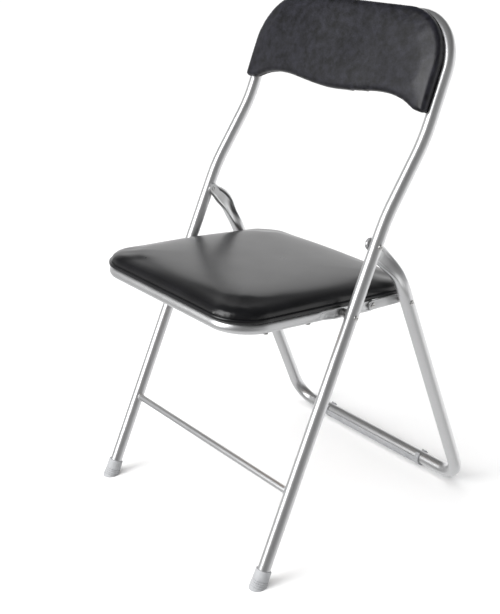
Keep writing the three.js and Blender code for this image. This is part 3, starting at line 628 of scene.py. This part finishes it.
def foot_caps():
    bore, outer = MAIN_R + 0.1 * MM, MAIN_R + GAP + 2 * MM
    wide = outer + 1.2 * MM
    profile = [(-20 * MM, 0), (-20 * MM, wide)]
    for k in range(4):
        low = (-2 + 3.4 * k) * MM
        profile += [
            (low, wide - 0.25 * k * MM),
            (low + 1.9 * MM, wide - 0.25 * k * MM),
            (low + 2.3 * MM, wide - (0.75 + 0.25 * k) * MM),
            (low + 3.0 * MM, wide - (0.75 + 0.25 * k) * MM),
        ]
    profile += [(12.2 * MM, outer + 0.45 * MM), (24 * MM, outer)]
    profile += [(24.4 * MM, outer + 0.1 * MM), (25.6 * MM, outer + 0.1 * MM)]
    profile += arc((26 * MM, outer - 0.9 * MM), 1.0 * MM, 90, 0, 4)
    profile += [(27 * MM, bore), (6 * MM, bore), (6 * MM, 0)]
    for side, word in ((1, "right"), (-1, "left")):
        mesh = lathe_mesh("cap", profile, at_x(LEG_FOOT, side * SIDE_X), LEG_WAY, 48)
        cut_at_floor(mesh)
        name = f"foot_cap_moulded_{word}"
        finish_object(name, mesh, GREY, "frame", [f"foot_cap_{word}"], sharp=32)


def glide_ring(bore, outer, sole, lips, round_by=0.6 * MM):
    """A C-shaped section, open at the top, as (backwards, up), with a flat sole."""
    sole_from, sole_half = 60, 0.4 * outer
    points = arc((0, 0), outer, 180 - lips, 180 + sole_from, 18)
    points += [(-sole_half - round_by, sole + round_by * 0.3), (-sole_half, sole)]
    points += [(sole_half, sole), (sole_half + round_by, sole + round_by * 0.3)]
    points += arc((0, 0), outer, -sole_from, lips, 18)
    points += arc((0, 0), bore, lips, -180 - lips, 40)
    return points


def rear_glide():
    bore = REAR_R + 0.15 * MM
    outer = REAR_R + GAP + 1.8 * MM
    sole = -(REAR_R + GAP + GLIDE_SOLE)
    half = 125 * MM
    stations = []
    clip, soft, step = 9 * MM, 0.6 * MM, 0.05 * MM
    clip_lips, channel_lips = 55, 15
    left_end = [
        (0, 0.1, clip_lips),
        (soft, 0.8, clip_lips),
        (clip - soft, 0.8, clip_lips),
        (clip, 0.2, clip_lips),
        (clip + step, 0.0, channel_lips),
    ]
    whole = [(d - half, grow, lips) for d, grow, lips in left_end]
    whole += [(half - d, grow, lips) for d, grow, lips in reversed(left_end)]
    for x, grow, lips in whole:
        ring = glide_ring(bore, outer + grow * MM, sole, lips)
        stations.append([Vector((x, REAR_BAR.y + y, REAR_BAR.z + z)) for y, z in ring])
    mesh = rings_mesh("rear_glide_channel", stations)
    finish_object("rear_glide_channel", mesh, GREY, "rear_legs", ["rear_glide"], sharp=35)


main_frame()
front_stretcher()
rear_legs()
seat_tube()
foot_caps()
rear_glide()

# ---- Rivets, spacers and links ---------------------------------------------------------------------

RIVET_R, HEAD_R, HEAD_HIGH = 2.5 * MM, 4.5 * MM, 2.0 * MM
ROLL_R, ROLL_HIGH = 3.5 * MM, 1.2 * MM
RIVET_SIDES = 28


def domed_head(face, way, dimple=1.1 * MM):
    """From the face outwards to a dimpled middle on the axis; way is 1 or -1 along the axis."""
    steps = [(0, 1.0), (0.25, 1.0), (0.5, 0.93), (0.75, 0.78), (0.93, 0.56), (1.0, 0.38)]
    head = [(face + way * HEAD_HIGH * h, HEAD_R * r) for h, r in steps]
    head += [(face + way * HEAD_HIGH * 0.9, dimple * 1.1), (face + way * HEAD_HIGH * 0.35, dimple)]
    return head + [(face + way * HEAD_HIGH * 0.3, 0)]


def rolled_head(face, way):
    """The rolled end of a tubular rivet: a ring round a deep hole."""
    ring = [(0, 1.0), (0.35, 1.02), (0.6, 0.95), (0.72, 0.8), (0.66, 0.62), (0.4, 0.5), (-0.6, 0.45)]
    ring += [(-0.6, 0)]
    return [(face + way * ROLL_HIGH * h, ROLL_R * r) for h, r in ring]


def turned_piece(name, profile, place, side, body, node):
    """A steel piece whose profile runs outwards from the chair's middle plane, as (x, radius)."""
    mesh = lathe_mesh(name, profile, at_x(place, 0), Vector((side, 0, 0)), RIVET_SIDES)
    finish_object(name, mesh, STEEL, body, [node], sharp=35)


def through_rivet(inner, outer):
    return rolled_head(inner, -1)[::-1] + domed_head(outer, 1)


def link_plate(side, word):
    """A pressed strap with round ends and softened edges."""
    along = LINK_REAR - LINK_FRONT
    length = along.length
    angle = math.atan2(along.z, along.y)
    outline = arc((length, 0), LINK_HALF, -90, 90, 20) + arc((0, 0), LINK_HALF, 90, 270, 20)
    rings = []
    for depth, shrink in ((0, 0.5), (0.15, 0.15), (0.5, 0), (2.5, 0), (2.85, 0.15), (3.0, 0.5)):
        scale = 1 - shrink * MM / LINK_HALF
        ring = []
        for y, z in outline:
            base = min(max(y, 0), length)
            y2, z2 = base + (y - base) * scale, z * scale
            yy = y2 * math.cos(angle) - z2 * math.sin(angle)
            zz = y2 * math.sin(angle) + z2 * math.cos(angle)
            ring.append(Vector((side * (LINK_IN + depth * MM), LINK_FRONT.y + yy, LINK_FRONT.z + zz)))
        rings.append(ring)
    mesh = rings_mesh("link", rings)
    finish_object(f"link_strap_{word}", mesh, SILVER, "links", [f"link_plate_{word}"], 50)


def bush_profile(start, end, radius, bevel):
    """A ring round a rivet from start to end, with bevelled edges."""
    bore, low = RIVET_R + GAP, radius - bevel
    profile = [(start, bore), (start, low), (start + bevel, radius)]
    return profile + [(end - bevel, radius), (end, low), (end, bore)]


def pivots():
    main_in, main_out = SIDE_X - MAIN_R, SIDE_X + MAIN_R
    rear_flat_in = main_in - SIDE_ROOM - 2 * FLAT_PLATE
    seat_flat_in = SEAT_X + SEAT_R - 2 * FLAT_PLATE
    rear_in, rear_out = REAR_X - REAR_R, REAR_X + REAR_R
    seat_out = SEAT_X + SEAT_R
    roll_sunk, dome_sunk, snug = 0.7 * MM - GAP, 0.5 * MM, 0.05 * MM
    for side, word in ((1, "right"), (-1, "left")):
        link_plate(side, word)

        def piece(short, profile, place, body, node):
            turned_piece(f"{short}_{word}", profile, place, side, body, f"{node}_{word}")

        top = through_rivet(rear_flat_in + roll_sunk, main_out - dome_sunk)
        piece("top_rivet", top, TOP_PIVOT, "frame", "top_pivot_rivet")
        seat = through_rivet(seat_flat_in + roll_sunk, main_out - dome_sunk)
        piece("seat_rivet", seat, SEAT_PIVOT, "frame", "seat_pivot_rivet")
        bush = bush_profile(seat_out + GAP, main_in - snug, 7 * MM, 0.6 * MM)
        piece("seat_bush", bush, SEAT_PIVOT, "frame", "seat_pivot_spacer")
        rear = [(LINK_IN + snug, 0), (LINK_IN + snug, 4.2 * MM), (LINK_OUT, 2.6 * MM)]
        rear += domed_head(rear_out - dome_sunk, 1)
        piece("link_rear_pin", rear, LINK_REAR, "rear_legs", "link_rear_rivet")
        bush = bush_profile(LINK_OUT + 2 * snug, rear_in - snug, 6 * MM, 0.5 * MM)
        piece("link_rear_bush", bush, LINK_REAR, "rear_legs", "link_rear_spacer")
        front = [(LINK_IN + snug, 0), (LINK_IN + snug, RIVET_R)]
        front += domed_head(LINK_OUT + snug, 1)
        piece("link_front_pin", front, LINK_FRONT, "links", "link_front_rivet")
        stud = rolled_head(seat_flat_in + roll_sunk, -1)[::-1]
        stud += [(seat_out, RIVET_R), (seat_out, 0)]
        piece("seat_stud", stud, LINK_FRONT, "seat", "seat_tube_stud")


pivots()

# ---- Pads ------------------------------------------------------------------------------------------

BOARD_THICK = 5 * MM
FINE_CREASES = 0.12  # the share of the cloth's fine creases that is kept
SEAT_FRONT_Y, SEAT_PAD_DEPTH, SEAT_CORNER = -202 * MM, 368 * MM, 60 * MM
BACK_HEIGHT, BACK_CORNER, BACK_DIP, BACK_TIP = 151 * MM, 92 * MM, 10 * MM, 9 * MM
TIP_ROUND, LEAST_ROUND = 5.5 * MM, 1.5 * MM
CLOTH_FRAMES, EVEN_ROUNDS, PRESSURE = 20, 80, 4.0
HELD_BELOW = 2.5 * MM  # the cushion's lower edge doesn't swell

LEVEL_SEAT = Matrix.Translation(SEAT_PIVOT) @ Matrix.Rotation(-SEAT_TILT, 4, "X")
LEVEL_SEAT = LEVEL_SEAT @ Matrix.Translation((0, 0, SEAT_R + GAP))
BACK_UP = Vector((0, math.sin(BACK_LEAN), math.cos(BACK_LEAN)))
BACK_OUT = Vector((0, -math.cos(BACK_LEAN), math.sin(BACK_LEAN)))
FLAT_BACK = Matrix.Identity(4)
for row in range(3):
    FLAT_BACK[row][1], FLAT_BACK[row][2] = BACK_UP[row], BACK_OUT[row]
    FLAT_BACK[row][3] = (at_x(WAIST_HIGH, 0) + BACK_OUT * (MAIN_R + GAP))[row]
HOOP_RISE = (HOOP_TOP - WAIST_HIGH).length
BACK_HIGH = HOOP_RISE + MAIN_R
BACK_LOW = BACK_HIGH - BACK_HEIGHT
BACK_HALF = SIDE_X + 2 * MM


def seat_outline(inset, steps=10):
    """The seat pad's outline, drawn in by inset."""
    half, front = SEAT_X + SEAT_R - inset, SEAT_FRONT_Y + inset
    rear, corner = SEAT_FRONT_Y + SEAT_PAD_DEPTH - inset, SEAT_CORNER - inset
    points = []
    for x, y, start in (
        (half - corner, front + corner, -90),
        (half - corner, rear - corner, 0),
        (-half + corner, rear - corner, 90),
        (-half + corner, front + corner, 180),
    ):
        points += arc((x, y), corner, start, start + 90, steps)
    return points


def smooth_course(points, steps):
    """A Catmull-Rom curve through points."""
    points = [Vector(p) for p in points]
    full = [2 * points[0] - points[1], *points, 2 * points[-1] - points[-2]]
    made = []
    for a, b, c, d in zip(full, full[1:], full[2:], full[3:]):
        square, cube = 2 * a - 5 * b + 4 * c - d, 3 * b - a - 3 * c + d
        for k in range(steps):
            t = k / steps
            made.append(tuple(0.5 * (2 * b + (c - a) * t + square * t**2 + cube * t**3)))
    return made + [tuple(points[-1])]


def back_outline(inset, steps=12):
    """The back pad's outline, drawn in by inset: round upper corners and a wavy lower edge."""
    half, top, corner = BACK_HALF - inset, BACK_HIGH - inset, BACK_CORNER - inset
    low = BACK_LOW + inset
    tip, r = low - BACK_TIP, max(TIP_ROUND - inset * 0.4, LEAST_ROUND)
    right = [(0.9 * half, tip + 2.2 * MM), (0.75 * half, low + 0.55 * BACK_DIP)]
    right += [(0.54 * half, low + BACK_DIP), (0.22 * half, low + 0.3 * BACK_DIP)]
    wave = smooth_course([(-x, y) for x, y in right] + [(0, low)] + right[::-1], 6)
    points = arc((half - r, tip + r), r, -70, 0, 4)
    points += arc((half - corner, top - corner), corner, 0, 90, steps)
    points += arc((-half + corner, top - corner), corner, 90, 180, steps)
    points += arc((-half + r, tip + r), r, 180, 250, 4)
    return points + wave


def to_outline(places, outline):
    """The least distance from each (x, y) to a closed outline."""
    a = np.array(outline)
    b = np.roll(a, -1, axis=0)
    run = b - a
    best = np.full(len(places), 1e9)
    for start, way in zip(a, run):
        share = np.clip(((places - start) @ way) / max(way @ way, 1e-12), 0, 1)
        best = np.minimum(best, np.linalg.norm(places - start - share[:, None] * way, axis=1))
    return best


def coords(mesh):
    flat = np.empty(len(mesh.vertices) * 3)
    mesh.vertices.foreach_get("co", flat)
    return flat.reshape(-1, 3)


def set_coords(mesh, places):
    mesh.vertices.foreach_set("co", places.ravel())
    mesh.update()


def modified(mesh, kind, **values):
    """The mesh with one modifier applied."""
    obj = bpy.data.objects.new("work", mesh)
    bpy.context.scene.collection.objects.link(obj)
    modifier = obj.modifiers.new("work", kind)
    for key, value in values.items():
        setattr(modifier, key, value)
    graph = bpy.context.evaluated_depsgraph_get()
    made = bpy.data.meshes.new_from_object(obj.evaluated_get(graph))
    bpy.data.objects.remove(obj)
    return made


def evened(mesh, shift, rounds):
    """Moves averaged with their neighbours' over and over, which keeps the swell and drops creases."""
    ends = np.empty(len(mesh.edges) * 2, dtype=np.int64)
    mesh.edges.foreach_get("vertices", ends)
    a, b = ends.reshape(-1, 2).T
    count = np.bincount(np.concatenate([a, b]), minlength=len(shift))[:, None]
    for _ in range(rounds):
        total = np.zeros_like(shift)
        np.add.at(total, a, shift[b])
        np.add.at(total, b, shift[a])
        shift = 0.5 * shift + 0.5 * total / count
    return shift


def inflated(mesh, held, pressure, cap):
    """The mesh after its cloth has settled under pressure; no point moves more than the cap."""
    scene = bpy.context.scene
    obj = bpy.data.objects.new("inflate", mesh)
    scene.collection.objects.link(obj)
    group = obj.vertex_groups.new(name="held")
    group.add([int(i) for i in np.nonzero(held)[0]], 1.0, "REPLACE")
    cloth = obj.modifiers.new("cloth", "CLOTH")
    settings = cloth.settings
    settings.quality = 5
    settings.mass = 0.3
    settings.tension_stiffness = settings.compression_stiffness = 25
    settings.shear_stiffness = 10
    settings.bending_stiffness = 2
    settings.use_pressure = True
    settings.uniform_pressure_force = pressure
    settings.vertex_group_mass = "held"
    settings.effector_weights.gravity = 0
    cloth.collision_settings.use_collision = False
    for step in range(CLOTH_FRAMES):
        scene.frame_set(step + 1)
    graph = bpy.context.evaluated_depsgraph_get()
    after = obj.evaluated_get(graph)
    swollen = bpy.data.meshes.new_from_object(after)
    before, moved = coords(mesh), coords(swollen)
    swell = evened(mesh, moved - before, EVEN_ROUNDS)
    shift = swell + FINE_CREASES * (moved - before - swell)
    reach = np.linalg.norm(shift, axis=1, keepdims=True)
    set_coords(swollen, before + shift * (np.minimum(reach, cap) / np.maximum(reach, 1e-9)))
    bpy.data.objects.remove(obj)
    scene.frame_set(1)
    return swollen


def pad_block(outline, wall, top, edge):
    """A plain block with a rounded upper edge, from which a cushion is remeshed."""
    rings = [[(x, y, 0) for x, y in outline(0.0)], [(x, y, wall) for x, y in outline(0.0)]]
    for angle in (30, 60, 90):
        a = math.radians(angle)
        inset = edge * (1 - math.cos(a))
        rings.append([(x, y, wall + (top - wall) * math.sin(a)) for x, y in outline(inset)])
    return rings_mesh("block", [[Vector(p) for p in ring] for ring in rings])


def cushion_mesh(outline, wall, top, edge, crown, crown_over, start_inset, cap, voxel):
    """A crowned cushion: remeshed, inflated, capped, and hollowed below for its board.

    The wall is upright, and the edge rounds it over to the top. The crown rises within crown_over of
    the outline, and the block starts start_inset inside it, so that it can swell by up to the cap.
    """
    block = pad_block(lambda inset: outline(inset + start_inset), wall, top - start_inset, edge)
    mesh = modified(block, "REMESH", mode="VOXEL", voxel_size=voxel)
    places = coords(mesh)
    edge_line = outline(0.0)
    depth = to_outline(places[:, :2], edge_line)
    lift = 1 - np.exp(-((depth / crown_over) ** 1.5))
    places[:, 2] += crown * lift * np.clip((places[:, 2] - 0.3 * wall) / (top - 0.3 * wall), 0, 1)
    set_coords(mesh, places)
    mesh = inflated(mesh, places[:, 2] < HELD_BELOW, PRESSURE, cap)
    mesh = modified(mesh, "SUBSURF", levels=1, render_levels=1)
    places = coords(mesh)
    places[:, 2] = np.maximum(places[:, 2], 0)
    depth = to_outline(places[:, :2], edge_line)
    under = places[:, 2] < 3 * MM
    wall_wide, ramp_wide = 4.5 * MM, 2 * MM
    hollow = np.clip((depth - wall_wide) / ramp_wide, 0, 1) * (BOARD_THICK + GAP)
    places[under, 2] = np.maximum(places[under, 2], hollow[under])
    set_coords(mesh, places)
    return mesh


def strip_rings(outline, offsets):
    """Closed rings from one (outwards, up) profile per outline point, given by offsets(share, index)."""
    points = [Vector((x, y, 0)) for x, y in outline]
    kept = [p for i, p in enumerate(points) if (p - points[i - 1]).length > 1e-6]
    rings = []
    total = sum((kept[i] - kept[i - 1]).length for i in range(len(kept)))
    run = 0.0
    for i, p in enumerate(kept):
        before, after = kept[i - 1], kept[(i + 1) % len(kept)]
        way = (after - before).normalized()
        out = Vector((way.y, -way.x, 0))
        rings.append([p + out * o + Vector((0, 0, z)) for o, z in offsets(run / total, i)])
        run += (after - p).length
    return rings


def finer(outline, spacing):
    """The same closed outline with points at an even spacing."""
    points = [Vector(p) for p in outline] + [Vector(outline[0])]
    lengths = [0.0]
    for a, b in zip(points, points[1:]):
        lengths.append(lengths[-1] + (b - a).length)
    count = round(lengths[-1] / spacing)
    made, at = [], 0
    for k in range(count):
        wanted = lengths[-1] * k / count
        while lengths[at + 1] < wanted:
            at += 1
        share = (wanted - lengths[at]) / max(lengths[at + 1] - lengths[at], 1e-9)
        made.append(tuple(points[at].lerp(points[at + 1], share)))
    return made


def seat_pad():
    mesh = cushion_mesh(
        seat_outline,
        wall=9 * MM,
        top=20 * MM,
        edge=15 * MM,
        crown=4.6 * MM,
        crown_over=50 * MM,
        start_inset=1.6 * MM,
        cap=4 * MM,
        voxel=5 * MM,
    )
    mesh.transform(LEVEL_SEAT)
    pad = finish_object("seat_cushion", mesh, SEAT_VINYL, "seat", ["seat_pad"], 80)

    def bead(share, index):
        wobble = 0.12 * MM * math.sin(share * 150) + 0.1 * MM * math.sin(share * 61)
        profile = [(-6.5, 0.0), (0.0, 0.0), (0.75, 0.5), (1.05, 1.6), (1.05, 3.6), (0.8, 4.8)]
        profile += [(0.1, 5.5), (-1.4, 5.8), (-4.0, 5.8), (-6.5, 5.3)]
        return [(o * MM + (wobble if o > 0 else 0), z * MM) for o, z in profile]

    rim_inset, rim_steps, rim_spacing = 1.1 * MM, 24, 5 * MM
    rings = strip_rings(finer(seat_outline(rim_inset, rim_steps), rim_spacing), bead)
    mesh = rings_mesh("seat_rim", rings, closed=True)
    mesh.transform(LEVEL_SEAT)
    band = finish_object("seat_rim", mesh, SEAT_VINYL, "seat", ["seat_pad"], 60)
    hem("seat", seat_outline, LEVEL_SEAT, "seat", wide=33 * MM, staple_inset=24 * MM)


def back_pad():
    mesh = cushion_mesh(
        back_outline,
        wall=12.5 * MM,
        top=17 * MM,
        edge=6 * MM,
        crown=2 * MM,
        crown_over=22 * MM,
        start_inset=1.2 * MM,
        cap=3 * MM,
        voxel=4 * MM,
    )
    mesh.transform(FLAT_BACK)
    pad = finish_object("back_cushion", mesh, BACK_VINYL, "frame", ["back_pad"], 80)
    hem("back", back_outline, FLAT_BACK, "frame", wide=26 * MM, staple_inset=19 * MM)


def hem(word, outline, matrix, body, wide, staple_inset):
    """The vinyl's edge, folded over the board and stapled; its inner edge is cut by hand."""
    line = finer(outline(3 * MM), 4 * MM)
    thick, low = 0.24 * MM, -0.26 * MM
    staple_spacing, staple_half, wire_r = 31 * MM, 5 * MM, 0.33 * MM
    leg, wire_bend = 2 * MM, 0.8 * MM

    def flap(share, index):
        cut = wide + 0.9 * MM * math.sin(share * 97) + 0.6 * MM * math.sin(share * 233 + 1)
        return [(0, low), (0, low + thick), (-cut, low + thick), (-cut, low)]

    mesh = rings_mesh(f"{word}_hem", strip_rings(line, flap), closed=True)
    mesh.transform(matrix)
    finish_object(f"{word}_hem", mesh, SEAT_VINYL, body, sharp=30)
    staples = []
    inner = finer(outline(staple_inset), staple_spacing)
    for i, (x, y) in enumerate(inner):
        before, after = inner[i - 1], inner[(i + 1) % len(inner)]
        way = Vector((after[0] - before[0], after[1] - before[1], 0)).normalized()
        way.rotate(Matrix.Rotation(0.35 * math.sin(7.3 * i), 3, "Z"))
        crown = Vector((x, y, -0.62 * MM))
        ends = [crown - way * staple_half, crown + way * staple_half]
        legs = [end + Vector((0, 0, leg)) for end in ends]
        path = BentPath([legs[0], ends[0], ends[1], legs[1]], [wire_bend, wire_bend], step=30)
        side = Vector((-way.y, way.x, 0))
        staples.append(rings_mesh("staple", tube_rings(path, lambda a, b: circle(wire_r, 8), side)))
    mesh = joined(f"{word}_staples", *staples)
    mesh.transform(matrix)
    finish_object(f"{word}_staples", mesh, STEEL, body, sharp=60)


seat_pad()
back_pad()
for board in ("seat_board", "back_board"):
    node = frame["nodes"][board]
    node.data.materials.clear()
    node.data.materials.append(BOARD)

# ---- Screws ----------------------------------------------------------------------------------------


SCREW_R, SCREW_HIGH, SHANK_R = 4.1 * MM, 1.8 * MM, 2 * MM
CROSS_HALF, CROSS_DEEP, CROSS_SLOPE = 0.62 * MM, 1.05 * MM, 0.12 * MM


def screw_head(centre, into, way):
    """A pan head with a cross recess, its face towards -into; the cross is turned to way."""
    side = (way - into * way.dot(into)).normalized()
    across = into.cross(side)
    rings, sides = [], 48
    shape = [(0, 1.0), (0.45, 0.99), (0.72, 0.9), (0.9, 0.74), (1.0, 0.6)]
    for h, r in shape:
        rings.append([(h, r * SCREW_R, 0.0)] * sides)
    for r, deep in ((0.52, 0.0), (0.44, 0.15), (0.3, 1.0), (0.12, 1.25), (0.03, 1.3)):
        rings.append([(1.0, r * SCREW_R, deep)] * sides)
    made = []
    for ring in rings:
        points = []
        for k, (h, r, deep) in enumerate(ring):
            a = 2 * math.pi * k / sides
            x, y = r * math.cos(a), r * math.sin(a)
            inside_cross = min(abs(x), abs(y)) < CROSS_HALF or r < 0.14 * SCREW_R
            sunk = deep * (CROSS_DEEP if inside_cross else CROSS_SLOPE)
            points.append(centre + side * x + across * y - into * (h * SCREW_HIGH - sunk))
        made.append(points)
    shank = [
        [centre + side * x + across * y + into * deep for x, y in circle(SHANK_R, sides)]
        for deep in (0.3 * MM, 0.0)
    ]
    return rings_mesh("screw", shank + made)


def screws():
    spots = []
    seat_up = LEVEL_SEAT.to_3x3() @ Vector((0, 0, 1))
    for x in (SEAT_X, -SEAT_X):
        for ahead in (60 * MM, 140 * MM):
            at = LEVEL_SEAT @ Vector((x, -ahead, -2 * SEAT_R - 2 * GAP))
            spots.append((at, seat_up, "seat"))
    for x in (45 * MM, 115 * MM):
        for side in (1, -1):
            at = FLAT_BACK @ Vector((side * x, HOOP_RISE, -2 * MAIN_R - 2 * GAP))
            spots.append((at, BACK_OUT, "frame"))
    names = [name for name in frame["nodes"] if "_screw_" in name]
    for i, (at, into, body) in enumerate(spots, 1):
        away = {name: sum((Vector(b) - at).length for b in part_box(name)) for name in names}
        nearest = min(away, key=away.get)
        turn = Vector((math.cos(1.7 * i), math.sin(1.7 * i), 0.3))
        mesh = screw_head(at, into, turn)
        finish_object(f"{nearest}_head", mesh, STEEL, body, [nearest], 32)


screws()

# ---- Stage, light and camera -----------------------------------------------------------------------


def stage_floor():
    """A pale round floor, which gloss doesn't show."""
    work = bmesh.new()
    bmesh.ops.create_circle(work, cap_ends=True, segments=96, radius=14)
    mesh = bpy.data.meshes.new("floor")
    work.to_mesh(mesh)
    work.free()
    floor = bpy.data.objects.new("floor", mesh)
    floor.location.z = -0.2 * MM
    floor.visible_glossy = False
    bpy.context.scene.collection.objects.link(floor)
    s = Shader("floor")
    s.set(Specular_IOR_Level=0.25)
    s.colour(s.ramp(s.noise(2.5, 3, 0.5), [(0.3, (0.87, 0.872, 0.876)), (0.7, (0.885, 0.885, 0.885))]))
    s.roughness(s.ramp(s.noise(8, 3, 0.5), [(0.3, 0.55), (0.7, 0.62)]))
    mesh.materials.append(s.material)


def world(behind, bright, beside, dim, overhead, underfoot):
    """A bright wall behind, dim beside and in front, dark overhead and pale straight below.

    The camera itself sees plain white in place of all of it.
    """
    made = bpy.data.worlds.new("studio")
    made.use_nodes = True
    tree = made.node_tree
    place = tree.nodes.new("ShaderNodeTexCoord").outputs["Generated"]

    def along(way):
        dot = tree.nodes.new("ShaderNodeVectorMath")
        dot.operation = "DOT_PRODUCT"
        dot.inputs[1].default_value = way
        tree.links.new(place, dot.inputs[0])
        spread = tree.nodes.new("ShaderNodeMapRange")
        spread.inputs["From Min"].default_value = -1
        tree.links.new(dot.outputs["Value"], spread.inputs["Value"])
        return spread.outputs["Result"]

    def ramp(source, *stops):
        node = tree.nodes.new("ShaderNodeValToRGB")
        node.color_ramp.interpolation = "EASE"
        elements = node.color_ramp.elements
        while len(elements) < len(stops):
            elements.new(0.5)
        for element, (at, tone) in zip(elements, stops):
            element.position, element.color = (at + 1) / 2, (tone, tone, tone, 1)
        tree.links.new(source, node.inputs["Fac"])
        return node.outputs["Color"]

    def mixed(factor, source, tone):
        mix = tree.nodes.new("ShaderNodeMix")
        mix.data_type = "RGBA"
        mix.inputs["B"].default_value = (tone, tone, tone, 1)
        tree.links.new(factor, mix.inputs["Factor"])
        tree.links.new(source, mix.inputs["A"])
        return mix.outputs["Result"]

    up = Vector((0, 0, 1))
    wall = ramp(along(behind.normalized()), (-0.9, dim), (0.1, beside), (0.6, bright))
    topped = mixed(ramp(along(up), (0.24, 0), (0.58, 1)), wall, overhead)
    whole = mixed(ramp(along(-up), (0.4, 0), (0.8, 1)), topped, underfoot)
    whole = mixed(tree.nodes.new("ShaderNodeLightPath").outputs["Is Camera Ray"], whole, 1.0)
    tree.links.new(whole, tree.nodes["Background"].inputs["Color"])
    bpy.context.scene.world = made


def fill_light(place, spread, strength):
    """Even light on the floor from a broad source, which gloss doesn't show."""
    data = bpy.data.lights.new("fill", "SUN")
    data.angle = math.radians(spread)
    data.energy = strength
    light = bpy.data.objects.new("fill", data)
    light.rotation_euler = Vector(place).to_track_quat("Z", "Y").to_euler()
    light.visible_glossy = False
    bpy.context.scene.collection.objects.link(light)


def area_light(name, place, target, size, power):
    data = bpy.data.lights.new(name, "AREA")
    data.shape = "RECTANGLE"
    data.size, data.size_y = size
    data.energy = power
    light = bpy.data.objects.new(name, data)
    light.location = place
    light.rotation_euler = (Vector(target) - Vector(place)).to_track_quat("-Z", "Y").to_euler()
    bpy.context.scene.collection.objects.link(light)


CAMERA_AT = Vector((1.3039, -1.0668, 1.0274))
LENS, SHIFT_UP = 64.33, -0.0993
AZIMUTH, ELEVATION, ROLL = (math.radians(a) for a in (52.325, 19.389, -1.315))


def camera():
    data = bpy.data.cameras.new("camera")
    data.lens = LENS
    data.shift_y = SHIFT_UP
    obj = bpy.data.objects.new("camera", data)
    back = Vector(
        (
            math.sin(AZIMUTH) * math.cos(ELEVATION),
            -math.cos(AZIMUTH) * math.cos(ELEVATION),
            math.sin(ELEVATION),
        )
    )
    obj.location = CAMERA_AT
    obj.rotation_mode = "QUATERNION"
    obj.rotation_quaternion = back.to_track_quat("Z", "Y") @ Matrix.Rotation(ROLL, 3, "Z").to_quaternion()
    bpy.context.scene.collection.objects.link(obj)
    bpy.context.scene.camera = obj


stage_floor()
TOWARDS_CAMERA = Vector((math.sin(AZIMUTH), -math.cos(AZIMUTH), 0.1))
IMAGE_LEFT = Vector((-math.cos(AZIMUTH), -math.sin(AZIMUTH), 0))
BEHIND = -TOWARDS_CAMERA * 0.82 - IMAGE_LEFT * 0.57
world(BEHIND, bright=1.35, beside=0.45, dim=0.14, overhead=0.08, underfoot=0.9)
KEY_AT = (IMAGE_LEFT + TOWARDS_CAMERA * 0.47) * 1.9 + Vector((0, 0, 1.35))
area_light("key", KEY_AT, target=(0, 0, 0.35), size=(1.5, 2.4), power=62)
FILL_FROM = IMAGE_LEFT * 0.5 + TOWARDS_CAMERA * 0.2 + Vector((0, 0, 1))
fill_light(FILL_FROM, spread=110, strength=3.7)
camera()
bpy.context.scene.view_settings.view_transform = "Standard"
